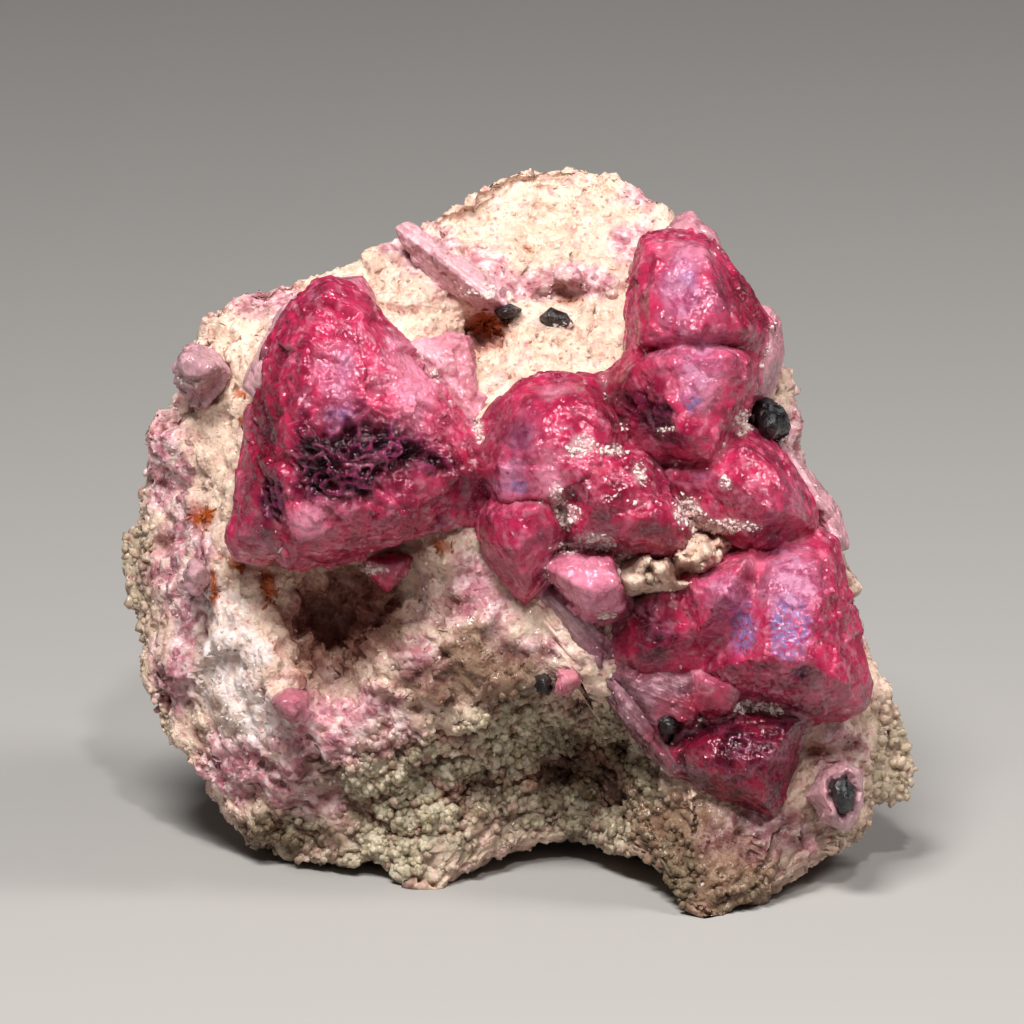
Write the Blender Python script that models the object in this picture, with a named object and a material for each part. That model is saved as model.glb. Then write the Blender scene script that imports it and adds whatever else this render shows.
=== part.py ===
"""Elbaite specimen: raspberry mushroom tourmaline crystals on a pale feldspar matrix.

Every place is given on a front view drawn at full size, in millimetres: across from the
left edge of the view, down from its top edge, and out towards the viewer. The view looks
down on the standing specimen by VIEW_TILT. Blender's world is in metres, +Z up, with its
origin under the middle of the specimen, at the level it stands on.
"""

import math

import bmesh
import bpy
import numpy as np

# Driving sizes, in millimetres and degrees
MM = 0.001
VIEW_TILT = 15.0
CENTRE_ACROSS = 51.45
FLOOR_DOWN = 91.55
MIDDLE_BACK = 20.9
FOOT_TRIM = 0.9
SOCKET_GAP = 0.45
ROOT_DEPTH = 2.6
ROOT_SHARE = 0.8

# The matrix: how many squares a side of its cage has, how much closer together they lie
# in front, how square its shoulders are, and how soft its relief is
CAGE_SQUARES = 20
FRONT_SHARE = 0.22
SQUARENESS = 2.6
MIDDLE = (51.0, 54.0)
RELIEF_SOFTNESS = 2.5
# Its broken blocks and its rounded lumps: size, height, seed. EDGE_CALM is the share of
# their height that is left on the rim, which keeps its drawn outline
BLOCKS = ((8.5, 1.2, 11), (5.0, 0.8, 23))
LUMPS = ((4.5, 0.7, 7),)
EDGE_CALM = 0.45
BLOCK_JITTER = 0.4
BLOCK_RANGE = 0.7

# The rim of the matrix, clockwise from the top: across, down, out
RIM = (
    (57.0, 16.0, -22), (62.0, 17.0, -22), (66.0, 20.0, -19), (69.0, 22.8, -15),
    (72.0, 27.2, -12), (75.0, 32.0, -11), (77.4, 35.5, -10), (79.3, 38.5, -10),
    (80.3, 42.5, -10), (81.0, 47.0, -9), (83.4, 51.0, -8), (84.1, 54.5, -8),
    (85.8, 60.5, -9), (87.0, 64.5, -9), (88.6, 68.0, -9), (90.2, 71.5, -10),
    (92.0, 77.3, -11), (90.8, 80.0, -11), (87.5, 80.8, -10), (87.3, 83.3, -12),
    (84.0, 84.9, -9), (81.5, 86.2, -3), (78.0, 88.3, 0), (74.0, 90.4, 2),
    (70.2, 92.5, 4), (68.2, 89.8, 3), (67.0, 87.6, 1), (65.0, 86.0, -3),
    (62.0, 85.4, -8), (59.0, 84.3, -12), (57.0, 83.9, -14), (54.5, 84.6, -14),
    (51.5, 85.6, -12), (49.0, 86.2, -9), (46.0, 87.6, -7), (44.0, 89.2, -5.5),
    (41.5, 89.0, -5.5), (38.0, 86.3, -8), (33.5, 86.8, -10), (29.5, 85.2, -12),
    (25.0, 83.8, -13), (22.3, 81.5, -14), (20.0, 78.0, -14), (16.5, 74.5, -16),
    (15.0, 70.5, -17), (13.6, 67.5, -18), (12.8, 62.0, -19), (11.7, 56.5, -20),
    (12.2, 54.0, -20), (13.2, 51.5, -18), (12.9, 48.8, -18), (14.2, 46.0, -15),
    (14.4, 43.5, -14), (16.0, 40.5, -15), (18.3, 37.0, -12), (20.0, 32.2, -12),
    (23.0, 29.8, -12), (30.0, 27.6, -12), (34.0, 26.1, -12), (38.0, 24.6, -13),
    (42.0, 22.6, -14), (45.0, 20.3, -16), (48.5, 18.3, -18), (52.0, 16.5, -20),
)

# How far the front of the matrix stands out: the far dome and its pink ridge, the cream
# saddle with the rust hole, the left shoulder, the white bulge, the cavity under the left
# mushroom, the middle ledge, the feet with the arch between them, and the crystals' bed
FRONT = (
    (52, 19.5, -19), (58, 19, -20), (63, 21.5, -17), (47, 22.5, -16), (55, 23.5, -14),
    (62, 25, -12), (44, 25.5, -8), (50, 28, -6.5), (57, 27.5, -7), (63, 28.5, -7),
    (40, 28, -7), (36, 29, -8), (42, 32, -4), (52, 35.5, -3), (58, 34, -4), (61, 33, -5),
    (48, 33.6, -9), (46, 38, -3), (56.5, 30, -9.5),
    (26, 31.5, -10), (22, 33.5, -10), (24, 38, -7), (20.5, 42, -8), (22, 47, -5.5),
    (17, 45, -11), (20, 51, -5), (15.5, 50, -13), (16, 57, -11), (14, 60, -16),
    (22, 58, -2), (18, 64, -7), (24, 65, 1), (27, 69, 1.5), (22, 70, -3), (19, 73, -9),
    (26, 76, -3.5), (24, 80, -8), (31, 77, -3.5), (31, 83, -8),
    (31, 60, -9), (33, 63, -13), (37, 59, -9.5), (34, 67, -8), (27, 59, -2),
    (41, 60, -5), (29.5, 65, -3),
    (38.5, 65, 0.5), (43, 63, 1), (40, 70, 0), (46, 66, 1.5), (52, 63, 2), (50, 69, 0),
    (56.5, 66.5, 2), (57.5, 69.5, 0), (37, 75, -2), (44, 76, -3.5), (49, 76, -5),
    (40, 81, -5.5), (46, 82, -5), (42.5, 86, -5.5),
    (54, 75, -7.5), (59, 74, -8.5), (61, 79, -11), (56, 80, -11.5), (51, 81, -9),
    (61.5, 71, -2), (66.5, 79, -1.5), (66, 84, -3.5), (70, 82, 1.5), (70, 87, 3.5),
    (75, 85, 3), (80, 82, 2), (84, 79, -1), (88, 77, -7), (86, 73, -4), (84.5, 69, -2),
    (60, 50, 0), (66, 54, 1), (72, 60, 1), (78, 62, 0), (70, 70, 1), (76, 74, 1),
    (64, 64, 0.5), (66, 45, -1), (72, 38, -3), (66, 32, -4), (72, 30, -7), (78, 45, -5),
    (81, 55, -4), (84, 62, -5), (55, 45, 0), (50, 52, 0), (44, 56, 0.5), (35, 42, 0),
    (42, 48, 0.5), (28, 45, -3), (30, 52, -1),
)

# The same for the back, which is a broken face with a low spine
BACK = (
    (51, 54, -35), (32, 44, -30), (70, 42, -31), (56, 26, -29), (29, 68, -33),
    (74, 68, -32), (50, 78, -33), (19, 58, -28), (86, 68, -22), (40, 33, -27),
    (60, 66, -37), (44, 62, -31), (68, 82, -31), (34, 80, -31),
)

# The two hidden feet at the back: the middle's across, down and out, then spread and drop
BACK_FEET = ((31.0, 80.0, -27.0, 9.0, 6.0), (73.0, 81.0, -27.0, 9.5, 8.0))

# Each crystal: its rim where it meets the rock (across, down), how far out the rim lies,
# and the corners of its crown (across, down, out)
MUSHROOM_LEFT = dict(
    rim=((33.3, 28.2), (36.6, 30.2), (38.9, 33.8), (42.3, 37.2), (45.0, 40.8),
         (49.6, 46.2), (49.2, 48.8), (47.2, 51.4), (43.0, 52.8), (38.5, 54.4),
         (33.0, 56.0), (29.0, 56.3), (27.3, 53.0), (25.6, 47.5), (25.7, 42.0),
         (26.9, 35.5), (30.2, 29.8)),
    rim_out=2.5,
    crown=((33.2, 30.2, 7), (35.8, 32.2, 7.5), (31.0, 35.5, 10), (38.0, 38.0, 9.5),
           (30.4, 41.0, 11.5), (33.2, 46.5, 13.5), (38.5, 45.5, 12.5), (43.8, 43.6, 9),
           (46.2, 47.2, 8), (41.0, 50.8, 9.5), (33.0, 51.5, 11), (28.9, 48.5, 9),
           (28.0, 42.0, 7.5), (30.0, 54.0, 7.5), (37.5, 53.0, 8)),
)
MUSHROOM_FLANK = dict(
    rim=((24.8, 40.9), (26.6, 41.2), (27.0, 46.0), (28.5, 50.5), (29.4, 53.5),
         (28.8, 55.4), (26.3, 56.1), (23.7, 55.7), (22.9, 54.0), (23.8, 50.5),
         (24.2, 46.0)),
    rim_out=0.5,
    crown=((25.4, 43.0, 2.5), (25.4, 48.0, 4.5), (26.8, 52.0, 7), (24.6, 53.6, 5),
           (27.6, 54.4, 5.5)),
)
MUSHROOM_CENTRE = dict(
    rim=((47.9, 43.6), (49.4, 41.0), (52.2, 38.5), (56.0, 37.6), (59.2, 38.0),
         (61.2, 40.4), (62.4, 44.0), (60.0, 48.5), (56.4, 50.4), (50.0, 50.0),
         (48.2, 47.5)),
    rim_out=2.5,
    crown=((53.2, 40.5, 8.5), (57.5, 40.2, 9.5), (60.2, 43.0, 9.5), (53.6, 45.0, 11),
           (51.2, 42.8, 8), (50.4, 46.4, 9), (55.0, 49.0, 10), (51.0, 49.2, 8),
           (58.6, 47.0, 10.5)),
)
MUSHROOM_TOOTH = dict(
    rim=((48.0, 51.2), (49.4, 49.9), (53.0, 49.5), (55.9, 50.2), (56.2, 53.0),
         (55.6, 55.6), (54.0, 58.4), (52.5, 59.8), (50.8, 58.2), (48.8, 55.6),
         (47.7, 53.2)),
    rim_out=2.0,
    crown=((49.6, 51.6, 8.5), (53.6, 51.0, 10.5), (55.0, 53.0, 9), (51.6, 55.0, 9.5),
           (52.6, 58.2, 6.5), (49.6, 54.2, 7.5), (54.2, 56.0, 7)),
)
MUSHROOM_MIDDLE = dict(
    rim=((56.3, 47.5), (58.3, 45.2), (62.0, 44.3), (64.6, 45.4), (66.2, 48.5),
         (68.8, 52.4), (69.1, 54.0), (68.0, 55.4), (66.2, 56.0), (61.5, 54.6),
         (57.0, 54.8), (55.9, 51.5)),
    rim_out=3.0,
    crown=((57.8, 48.0, 10), (61.0, 46.0, 9.5), (60.0, 50.4, 13.5), (63.6, 48.4, 11),
           (66.4, 52.2, 10), (67.4, 54.2, 8), (62.6, 53.4, 11), (58.0, 53.0, 10)),
)
CRYSTAL_PALE = dict(
    rim=((54.6, 56.9), (56.0, 55.7), (58.6, 55.1), (61.2, 55.3), (61.9, 57.5),
         (62.6, 60.0), (62.3, 61.0), (59.6, 61.8), (58.0, 61.4), (56.8, 59.6)),
    rim_out=2.0,
    crown=((55.8, 57.0, 8), (60.8, 56.2, 9), (61.4, 58.4, 9), (58.4, 59.0, 10),
           (61.8, 60.4, 6.5), (58.8, 60.9, 6)),
)
UPPER_RIGHT_HEAD = dict(
    rim=((64.5, 24.2), (67.5, 23.7), (71.0, 24.6), (73.0, 27.2), (75.2, 30.4),
         (76.5, 33.2), (75.8, 35.6), (70.0, 37.0), (62.6, 36.2), (62.9, 32.0),
         (63.7, 27.0)),
    rim_out=-1.0,
    crown=((65.4, 25.8, 4.5), (70.2, 25.6, 5.5), (65.0, 31.5, 7.5), (71.2, 30.6, 9.5),
           (69.2, 33.8, 10), (64.6, 34.4, 6.5), (73.6, 33.2, 7.5)),
)
UPPER_RIGHT_BODY = dict(
    rim=((62.6, 35.6), (60.3, 37.6), (60.0, 39.2), (61.6, 42.0), (63.6, 45.2),
         (67.0, 46.2), (70.4, 46.9), (72.0, 45.8), (73.6, 42.2), (75.4, 38.4),
         (75.2, 35.4), (69.0, 33.5)),
    rim_out=0.5,
    crown=((64.4, 36.3, 7.5), (68.0, 35.4, 10.5), (72.4, 35.6, 9.5), (66.0, 39.4, 10.5),
           (68.6, 43.2, 11), (70.8, 45.4, 9), (72.4, 42.0, 9), (74.2, 38.0, 7.5),
           (61.6, 38.8, 4.5), (63.6, 42.4, 6), (66.2, 45.0, 6)),
)
MUSHROOM_RIGHT = dict(
    rim=((72.2, 44.2), (74.8, 43.2), (77.2, 44.6), (79.0, 47.0), (81.2, 50.8),
         (81.5, 53.4), (79.8, 54.4), (76.5, 54.9), (71.5, 54.2), (68.6, 52.0),
         (66.8, 49.0), (65.6, 46.4), (69.0, 46.4)),
    rim_out=0.0,
    crown=((74.2, 45.4, 7.5), (77.0, 47.4, 7.5), (79.4, 51.4, 6), (76.4, 51.0, 9.5),
           (73.0, 48.0, 9.5), (70.0, 51.2, 6.5), (74.6, 53.4, 7), (67.6, 47.6, 5)),
)
LOWER_RIGHT_BODY = dict(
    rim=((76.0, 55.6), (79.0, 54.4), (81.6, 53.8), (83.4, 54.4), (83.7, 57.5),
         (84.6, 62.5), (86.6, 67.6), (86.4, 70.2), (84.0, 71.8), (79.5, 71.4),
         (75.0, 69.8), (69.5, 67.8), (69.0, 64.0), (72.5, 58.5)),
    rim_out=0.5,
    crown=((77.0, 57.0, 8), (81.2, 56.6, 7), (76.0, 65.2, 11), (80.6, 66.0, 10),
           (84.0, 67.8, 6.5), (85.4, 70.0, 4), (80.6, 70.6, 5.5), (75.4, 68.8, 6.5),
           (71.0, 66.8, 6)),
)
LOWER_RIGHT_WEDGE = dict(
    rim=((68.1, 57.7), (71.8, 56.1), (75.4, 55.3), (76.4, 56.2), (75.6, 59.5),
         (72.6, 63.0), (70.6, 64.7), (69.0, 64.4), (68.3, 61.5)),
    rim_out=3.0,
    crown=((69.2, 58.8, 8.5), (74.8, 56.5, 9), (70.2, 63.2, 9), (72.6, 59.6, 10.8)),
)
LOWER_RIGHT_SIDE = dict(
    rim=((63.6, 59.7), (66.0, 58.6), (69.2, 57.6), (71.0, 62.0), (71.0, 67.8),
         (66.0, 67.8), (62.0, 66.8), (60.9, 64.8), (61.4, 61.8)),
    rim_out=0.5,
    crown=((64.2, 60.4, 4), (67.6, 59.0, 5.5), (69.0, 64.0, 6.5), (64.0, 65.6, 4.5)),
)
CRYSTAL_BOTTOM = dict(
    rim=((72.3, 71.6), (76.0, 70.9), (81.3, 70.9), (80.6, 73.0), (79.2, 76.0),
         (78.2, 79.6), (77.4, 81.3), (74.0, 80.2), (70.4, 78.6), (67.4, 76.8),
         (66.6, 74.8), (69.6, 73.0)),
    rim_out=1.0,
    crown=((74.4, 73.0, 5), (79.0, 72.6, 4.5), (76.4, 76.0, 6.5), (71.6, 77.0, 5),
           (76.0, 79.4, 5), (69.0, 75.2, 4)),
)
LILAC_SLAB = dict(
    rim=((61.4, 67.8), (63.0, 66.7), (67.0, 66.9), (70.0, 67.6), (70.4, 71.0),
         (69.2, 73.2), (66.0, 73.4), (64.0, 71.4)),
    rim_out=1.5,
    crown=((63.2, 68.0, 3.5), (68.4, 68.2, 4.5), (68.8, 71.4, 4.5), (65.8, 72.0, 3.5)),
)
ROSE_CHUNK = dict(
    rim=((69.4, 67.4), (71.5, 67.2), (73.8, 69.0), (73.6, 71.4), (71.0, 72.0),
         (69.2, 70.6)),
    rim_out=2.5,
    crown=((70.2, 68.2, 5.5), (72.6, 69.0, 6), (72.6, 71.0, 5), (70.4, 70.8, 5)),
)
STEM_UPPER = dict(
    rim=((53.6, 58.6), (57.0, 59.8), (60.6, 62.0), (61.4, 65.0), (60.8, 67.6),
         (58.8, 66.4), (57.0, 63.4)),
    rim_out=1.0,
    crown=((56.4, 60.8, 4), (59.8, 63.2, 4), (59.8, 66.2, 3)),
)
STEM_LOWER = dict(
    rim=((60.6, 67.0), (61.8, 67.4), (64.4, 71.6), (67.8, 76.4), (67.2, 77.4),
         (64.0, 74.6), (61.2, 70.2)),
    rim_out=0.0,
    crown=((61.6, 68.6, 2.5), (64.0, 72.6, 3), (66.6, 76.2, 3)),
)
COLUMN_TOP = dict(
    rim=((39.8, 23.2), (41.2, 22.5), (43.0, 23.8), (46.0, 25.8), (49.6, 28.2),
         (50.2, 30.2), (47.4, 30.4), (44.4, 28.6), (41.6, 26.2)),
    rim_out=-9.0,
    crown=((41.0, 24.0, -8), (45.0, 26.4, -5), (48.6, 29.2, -4)),
)
LILAC_KNOB = dict(
    rim=((17.2, 36.6), (18.1, 34.6), (19.6, 34.6), (21.4, 35.8), (22.5, 37.2),
         (21.6, 38.4), (19.8, 40.2), (18.2, 39.4), (17.4, 38.2)),
    rim_out=-9.0,
    crown=((18.6, 36.0, -5.5), (20.8, 37.0, -5), (19.2, 38.8, -6)),
)
PALE_FLAKE = dict(
    rim=((24.6, 38.4), (25.4, 35.6), (27.2, 33.4), (28.0, 31.2), (29.6, 30.4),
         (30.0, 33.0), (28.4, 37.6), (26.4, 40.0)),
    rim_out=-2.0,
    crown=((26.2, 36.4, 0.5), (28.4, 32.6, 0.5), (27.2, 38.2, 1)),
)
PALE_LOBE = dict(
    rim=((33.6, 28.2), (34.8, 27.8), (36.2, 27.7), (37.2, 29.2), (37.6, 31.2),
         (37.6, 32.8), (35.0, 32.6)),
    rim_out=-2.0,
    crown=((35.2, 28.8, 1.2), (36.6, 30.6, 1.4)),
)
BROWN_SLIVER = dict(
    rim=((41.0, 35.8), (42.2, 34.6), (44.6, 34.0), (46.6, 34.2), (48.0, 39.6),
         (47.6, 41.8), (46.4, 42.2), (43.6, 38.6)),
    rim_out=-1.0,
    crown=((43.2, 35.6, 1), (45.6, 38.0, 0.8), (46.8, 40.8, 1)),
)
VUG_CRYSTAL = dict(
    rim=((36.4, 56.2), (38.0, 55.6), (40.9, 55.6), (40.4, 57.4), (38.8, 59.0),
         (37.2, 58.0)),
    rim_out=-0.5,
    crown=((37.8, 56.4, 2), (39.8, 56.4, 2.2), (38.8, 58.0, 1.6)),
)
RUBY_STUB = dict(
    rim=((27.6, 70.0), (28.8, 69.2), (30.6, 69.4), (30.6, 71.0), (29.4, 72.4),
         (27.8, 71.6)),
    rim_out=1.4,
    crown=((28.2, 70.2, 3.4), (30.0, 70.0, 3.6), (29.2, 71.6, 3.6)),
)
LILAC_STUB = dict(
    rim=((18.4, 57.4), (19.2, 56.4), (20.4, 56.8), (20.6, 58.2), (19.6, 59.1),
         (18.6, 58.6)),
    rim_out=-4.0,
    crown=((19.0, 57.4, -2), (20.0, 57.4, -1.8), (19.4, 58.4, -2)),
)
RED_STUB = dict(
    rim=((55.4, 66.6), (57.6, 66.9), (58.3, 68.2), (57.0, 69.6), (55.2, 69.6)),
    rim_out=1.4,
    crown=((56.2, 67.4, 3.8), (57.4, 68.0, 3.6), (56.0, 68.9, 3.6)),
)
CAP_RIGHT = dict(
    rim=((66.6, 24.0), (68.0, 21.7), (69.2, 21.3), (70.6, 22.8), (71.6, 23.8),
         (72.2, 26.4), (70.0, 26.0)),
    rim_out=-6.0,
    crown=((68.2, 22.8, -3.5), (70.0, 23.6, -2.5), (69.6, 25.0, -2)),
)
FAN_RIGHT = dict(
    rim=((75.4, 31.4), (76.8, 30.9), (78.0, 32.4), (78.4, 35.4), (77.6, 38.0),
         (76.4, 40.4), (74.6, 40.0), (74.4, 36.0)),
    rim_out=-4.0,
    crown=((76.6, 33.2, -1.0), (77.2, 36.4, -1.0), (75.6, 38.8, 0.5)),
)
EDGE_BLADE = dict(
    rim=((77.8, 44.0), (80.4, 46.4), (83.8, 50.8), (84.6, 54.4), (82.2, 54.2),
         (80.4, 49.6)),
    rim_out=-5.0,
    crown=((79.6, 46.6, -2.5), (82.4, 50.8, -2), (83.2, 53.4, -2)),
)
FOOT_CRYSTAL = dict(
    rim=((80.8, 79.6), (82.2, 77.2), (84.4, 76.2), (86.0, 77.4), (86.0, 80.4),
         (84.6, 82.6), (82.4, 81.8)),
    rim_out=0.5,
    crown=((82.2, 79.2, 3.2), (84.4, 77.4, 3.0), (85.2, 79.6, 2.4), (83.4, 81.2, 3.2)),
)
SCHORL_RIGHT = dict(
    rim=((75.6, 41.0), (76.6, 40.2), (78.2, 41.2), (78.6, 42.8), (77.4, 44.0),
         (75.8, 43.8)),
    rim_out=-2.0,
    crown=((76.4, 41.6, 1.5), (77.6, 42.0, 1.8), (76.8, 43.2, 1.4)),
)
SCHORL_FOOT = dict(
    rim=((83.2, 78.2), (84.6, 77.5), (85.3, 79.2), (84.8, 80.8), (84.0, 81.2),
         (83.5, 79.8)),
    rim_out=3.0,
    crown=((84.0, 78.4, 4.6), (84.7, 79.2, 4.4), (84.3, 80.4, 4.2)),
)
SCHORL_STEM = dict(
    rim=((66.0, 71.8), (67.0, 71.3), (67.7, 72.0), (67.2, 73.0), (66.4, 73.0)),
    rim_out=3.0,
    crown=((66.6, 72.0, 4.9), (67.2, 72.3, 5.0)),
)
SCHORL_CENTRE = dict(
    rim=((53.3, 67.6), (54.6, 67.0), (55.3, 68.0), (54.8, 69.3), (53.8, 69.0)),
    rim_out=1.2,
    crown=((54.0, 67.8, 3.2), (54.8, 68.2, 3.2), (54.4, 68.9, 3.0)),
)
SCHORL_TOP = dict(
    rim=((54.0, 31.6), (55.2, 30.7), (56.6, 31.2), (57.4, 32.2), (56.6, 32.8),
         (54.8, 32.4)),
    rim_out=-8.0,
    crown=((55.2, 31.6, -6.2), (56.6, 32.0, -6.2)),
)
SCHORL_HOLE = dict(
    rim=((49.4, 30.9), (51.0, 30.3), (52.2, 30.8), (51.4, 31.6), (50.0, 31.6)),
    rim_out=-8.0,
    crown=((50.4, 30.9, -6.0), (51.4, 31.0, -6.0)),
)

# In the order in which they are cut: each crystal makes room for the ones before it
CRYSTALS = (
    ("mushroom_left", (MUSHROOM_LEFT,), "raspberry"),
    ("mushroom_middle", (MUSHROOM_MIDDLE,), "raspberry"),
    ("mushroom_centre", (MUSHROOM_CENTRE,), "raspberry"),
    ("mushroom_tooth", (MUSHROOM_TOOTH,), "raspberry"),
    ("mushroom_upper_right", (UPPER_RIGHT_HEAD, UPPER_RIGHT_BODY), "raspberry"),
    ("mushroom_right", (MUSHROOM_RIGHT,), "raspberry"),
    (
        "mushroom_lower_right",
        (LOWER_RIGHT_BODY, LOWER_RIGHT_WEDGE, LOWER_RIGHT_SIDE),
        "raspberry",
    ),
    ("crystal_bottom", (CRYSTAL_BOTTOM,), "raspberry"),
    ("crystal_pale", (CRYSTAL_PALE,), "raspberry"),
    ("mushroom_left_flank", (MUSHROOM_FLANK,), "raspberry"),
    ("schorl_stem", (SCHORL_STEM,), "black"),
    ("rose_chunk", (ROSE_CHUNK,), "rose"),
    ("lilac_slab", (LILAC_SLAB,), "lilac"),
    ("stem_upper", (STEM_UPPER,), "lilac"),
    ("stem_lower", (STEM_LOWER,), "lilac"),
    ("column_top", (COLUMN_TOP,), "rose"),
    ("lilac_knob", (LILAC_KNOB,), "lilac"),
    ("pale_flake", (PALE_FLAKE,), "rose"),
    ("pale_lobe", (PALE_LOBE,), "rose"),
    ("brown_sliver", (BROWN_SLIVER,), "rose"),
    ("vug_crystal", (VUG_CRYSTAL,), "raspberry"),
    ("ruby_stub", (RUBY_STUB,), "raspberry"),
    ("lilac_stub", (LILAC_STUB,), "lilac"),
    ("schorl_centre", (SCHORL_CENTRE,), "black"),
    ("red_stub", (RED_STUB,), "raspberry"),
    ("cap_right", (CAP_RIGHT,), "rose"),
    ("fan_right", (FAN_RIGHT,), "rose"),
    ("schorl_right", (SCHORL_RIGHT,), "black"),
    ("edge_blade", (EDGE_BLADE,), "rose"),
    ("schorl_foot", (SCHORL_FOOT,), "black"),
    ("foot_crystal", (FOOT_CRYSTAL,), "lilac"),
    ("schorl_top", (SCHORL_TOP,), "black"),
    ("schorl_hole", (SCHORL_HOLE,), "black"),
)

# Colour, roughness and metallic value of each finish
FINISHES = {
    "matrix": ((0.80, 0.68, 0.58), 0.75),
    "raspberry": ((0.52, 0.05, 0.14), 0.25),
    "rose": ((0.75, 0.30, 0.40), 0.40),
    "lilac": ((0.55, 0.30, 0.38), 0.45),
    "black": ((0.015, 0.015, 0.018), 0.30),
}


def to_world(sheet):
    """Turns rows of (across, down, out) on the front view into places in the world."""
    tilt = math.radians(VIEW_TILT)
    up = FLOOR_DOWN - sheet[:, 1]
    x = sheet[:, 0] - CENTRE_ACROSS
    y = up * math.sin(tilt) - sheet[:, 2] * math.cos(tilt) - MIDDLE_BACK
    z = up * math.cos(tilt) + sheet[:, 2] * math.sin(tilt) - FOOT_TRIM
    return np.column_stack((x, y, z)) * MM


def corner_value(corner, seed):
    """A number from -1 to 1 that is always the same for one whole-number corner."""
    mixed = (corner[..., 0] * 73856093) ^ (corner[..., 1] * 19349663)
    mixed = mixed ^ (corner[..., 2] * 83492791) ^ (seed * 26544357)
    mixed = ((mixed ^ (mixed >> 13)) * 1274126177) & 0xFFFFFFFF
    mixed = mixed ^ (mixed >> 16)
    return (mixed & 0xFFFF) / 32767.5 - 1.0


def lumpiness(points, size, seed):
    """Smooth noise from -1 to 1: values at the corners of cubes of that size, blended."""
    cell = np.floor(points / size).astype(np.int64)
    part = points / size - cell
    part = part * part * (3 - 2 * part)
    total = np.zeros(len(points))
    for step in np.ndindex(2, 2, 2):
        weight = np.prod(np.where(step, part, 1 - part), axis=1)
        total += weight * corner_value(cell + np.array(step), seed)
    return total


def relief(places):
    """A smooth surface through (across, down, out) places, as a function of the first two.

    It is a sum of rounded cones, one on each place, with the heights that pass through all.
    """
    spots = np.array([p[:2] for p in places], float)
    heights = np.array([p[2] for p in places], float)
    mean = heights.mean()

    def cones(at):
        gap = at[:, None, :] - spots[None, :, :]
        return np.sqrt((gap**2).sum(axis=2) + RELIEF_SOFTNESS**2)

    weights = np.linalg.solve(cones(spots), heights - mean)
    return lambda at: cones(at) @ weights + mean


def block_faces(points, size, seed):
    """Broken faces from about -1 to 1: each block of that size has its own level and slope.

    A point belongs to the nearest of the blocks' middles, which stand about one to a cube.
    """
    cell = np.floor(points / size).astype(np.int64)
    nearest = np.full(len(points), np.inf)
    level = np.zeros(len(points))
    for step in np.ndindex(3, 3, 3):
        corner = cell + np.array(step) - 1
        shift = [corner_value(corner, seed + axis) * BLOCK_JITTER + 0.5 for axis in range(3)]
        arm = points / size - corner - np.column_stack(shift)
        slope = [corner_value(corner, seed + 5 + axis) for axis in range(3)]
        face = corner_value(corner, seed + 9) + (arm * np.column_stack(slope)).sum(axis=1)
        distance = (arm**2).sum(axis=1)
        level = np.where(distance < nearest, face, level)
        nearest = np.minimum(distance, nearest)
    return level * BLOCK_RANGE


def rim_at(angle):
    """The matrix's radius and depth on its rim, for angles round the view."""
    rim = np.array(RIM, float)
    arms = rim[:, :2] - MIDDLE
    rim_angle = np.arctan2(arms[:, 1], arms[:, 0])
    turn = 2 * math.pi
    radius = np.interp(angle, rim_angle, np.hypot(arms[:, 0], arms[:, 1]), period=turn)
    return radius, np.interp(angle, rim_angle, rim[:, 2], period=turn)


def rock_out(spots):
    """How far out the front of the matrix stands at (across, down) spots."""
    arms = spots - MIDDLE
    radius, rim_out = rim_at(np.arctan2(arms[:, 1], arms[:, 0]))
    share = np.clip(np.hypot(arms[:, 0], arms[:, 1]) / radius, 0, 1)
    rise = (1 - share**SQUARENESS) ** (1 / SQUARENESS)
    return rim_out + (relief(FRONT)(spots) - rim_out) * rise


def matrix_places(directions):
    """Places on the front view for points of a ball, given as unit rows (right, down, out).

    The angle round the view picks the rim's radius and depth. The lean away from the viewer
    carries the point from the front relief over the rim to the back relief.
    """
    angle = np.arctan2(directions[:, 1], directions[:, 0])
    radius, rim_out = rim_at(angle)
    flat = 2 / SQUARENESS
    reach = np.clip(1 - directions[:, 2] ** 2, 0, 1) ** (flat / 2) * radius
    rise = np.abs(directions[:, 2]) ** flat
    seen = np.column_stack((np.cos(angle), np.sin(angle))) * reach[:, None] + MIDDLE
    depth = np.where(directions[:, 2] > 0, relief(FRONT)(seen), relief(BACK)(seen))
    out = rim_out + (depth - rim_out) * rise
    down = seen[:, 1].copy()
    for across_at, down_at, out_at, spread, drop in BACK_FEET:
        gap = np.column_stack((seen, out)) - (across_at, down_at, out_at)
        down += drop * np.exp(-((gap / spread) ** 2).sum(axis=1))
    return np.column_stack((seen[:, 0], down, out))


def finish(name):
    """The material of that name, with its colour and roughness from FINISHES."""
    made = bpy.data.materials.get(name)
    if made is None:
        colour, roughness = FINISHES[name]
        made = bpy.data.materials.new(name)
        made.use_nodes = True
        shader = made.node_tree.nodes["Principled BSDF"]
        shader.inputs["Base Color"].default_value = (*colour, 1.0)
        shader.inputs["Roughness"].default_value = roughness
        shader.inputs["Metallic"].default_value = 0.0
    return made


def add_object(name, shape, collection, material=None):
    """Puts a bmesh into the scene as a mesh object."""
    bmesh.ops.recalc_face_normals(shape, faces=shape.faces)
    mesh = bpy.data.meshes.new(name)
    shape.to_mesh(mesh)
    shape.free()
    made = bpy.data.objects.new(name, mesh)
    collection.objects.link(made)
    if material:
        mesh.materials.append(finish(material))
    return made


def add_cutter(name, shape, collection):
    """A cutter or guide: shown as wire and left out of the model."""
    made = add_object(name, shape, collection)
    made.hide_render = True
    made.display_type = "WIRE"
    return made


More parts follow.
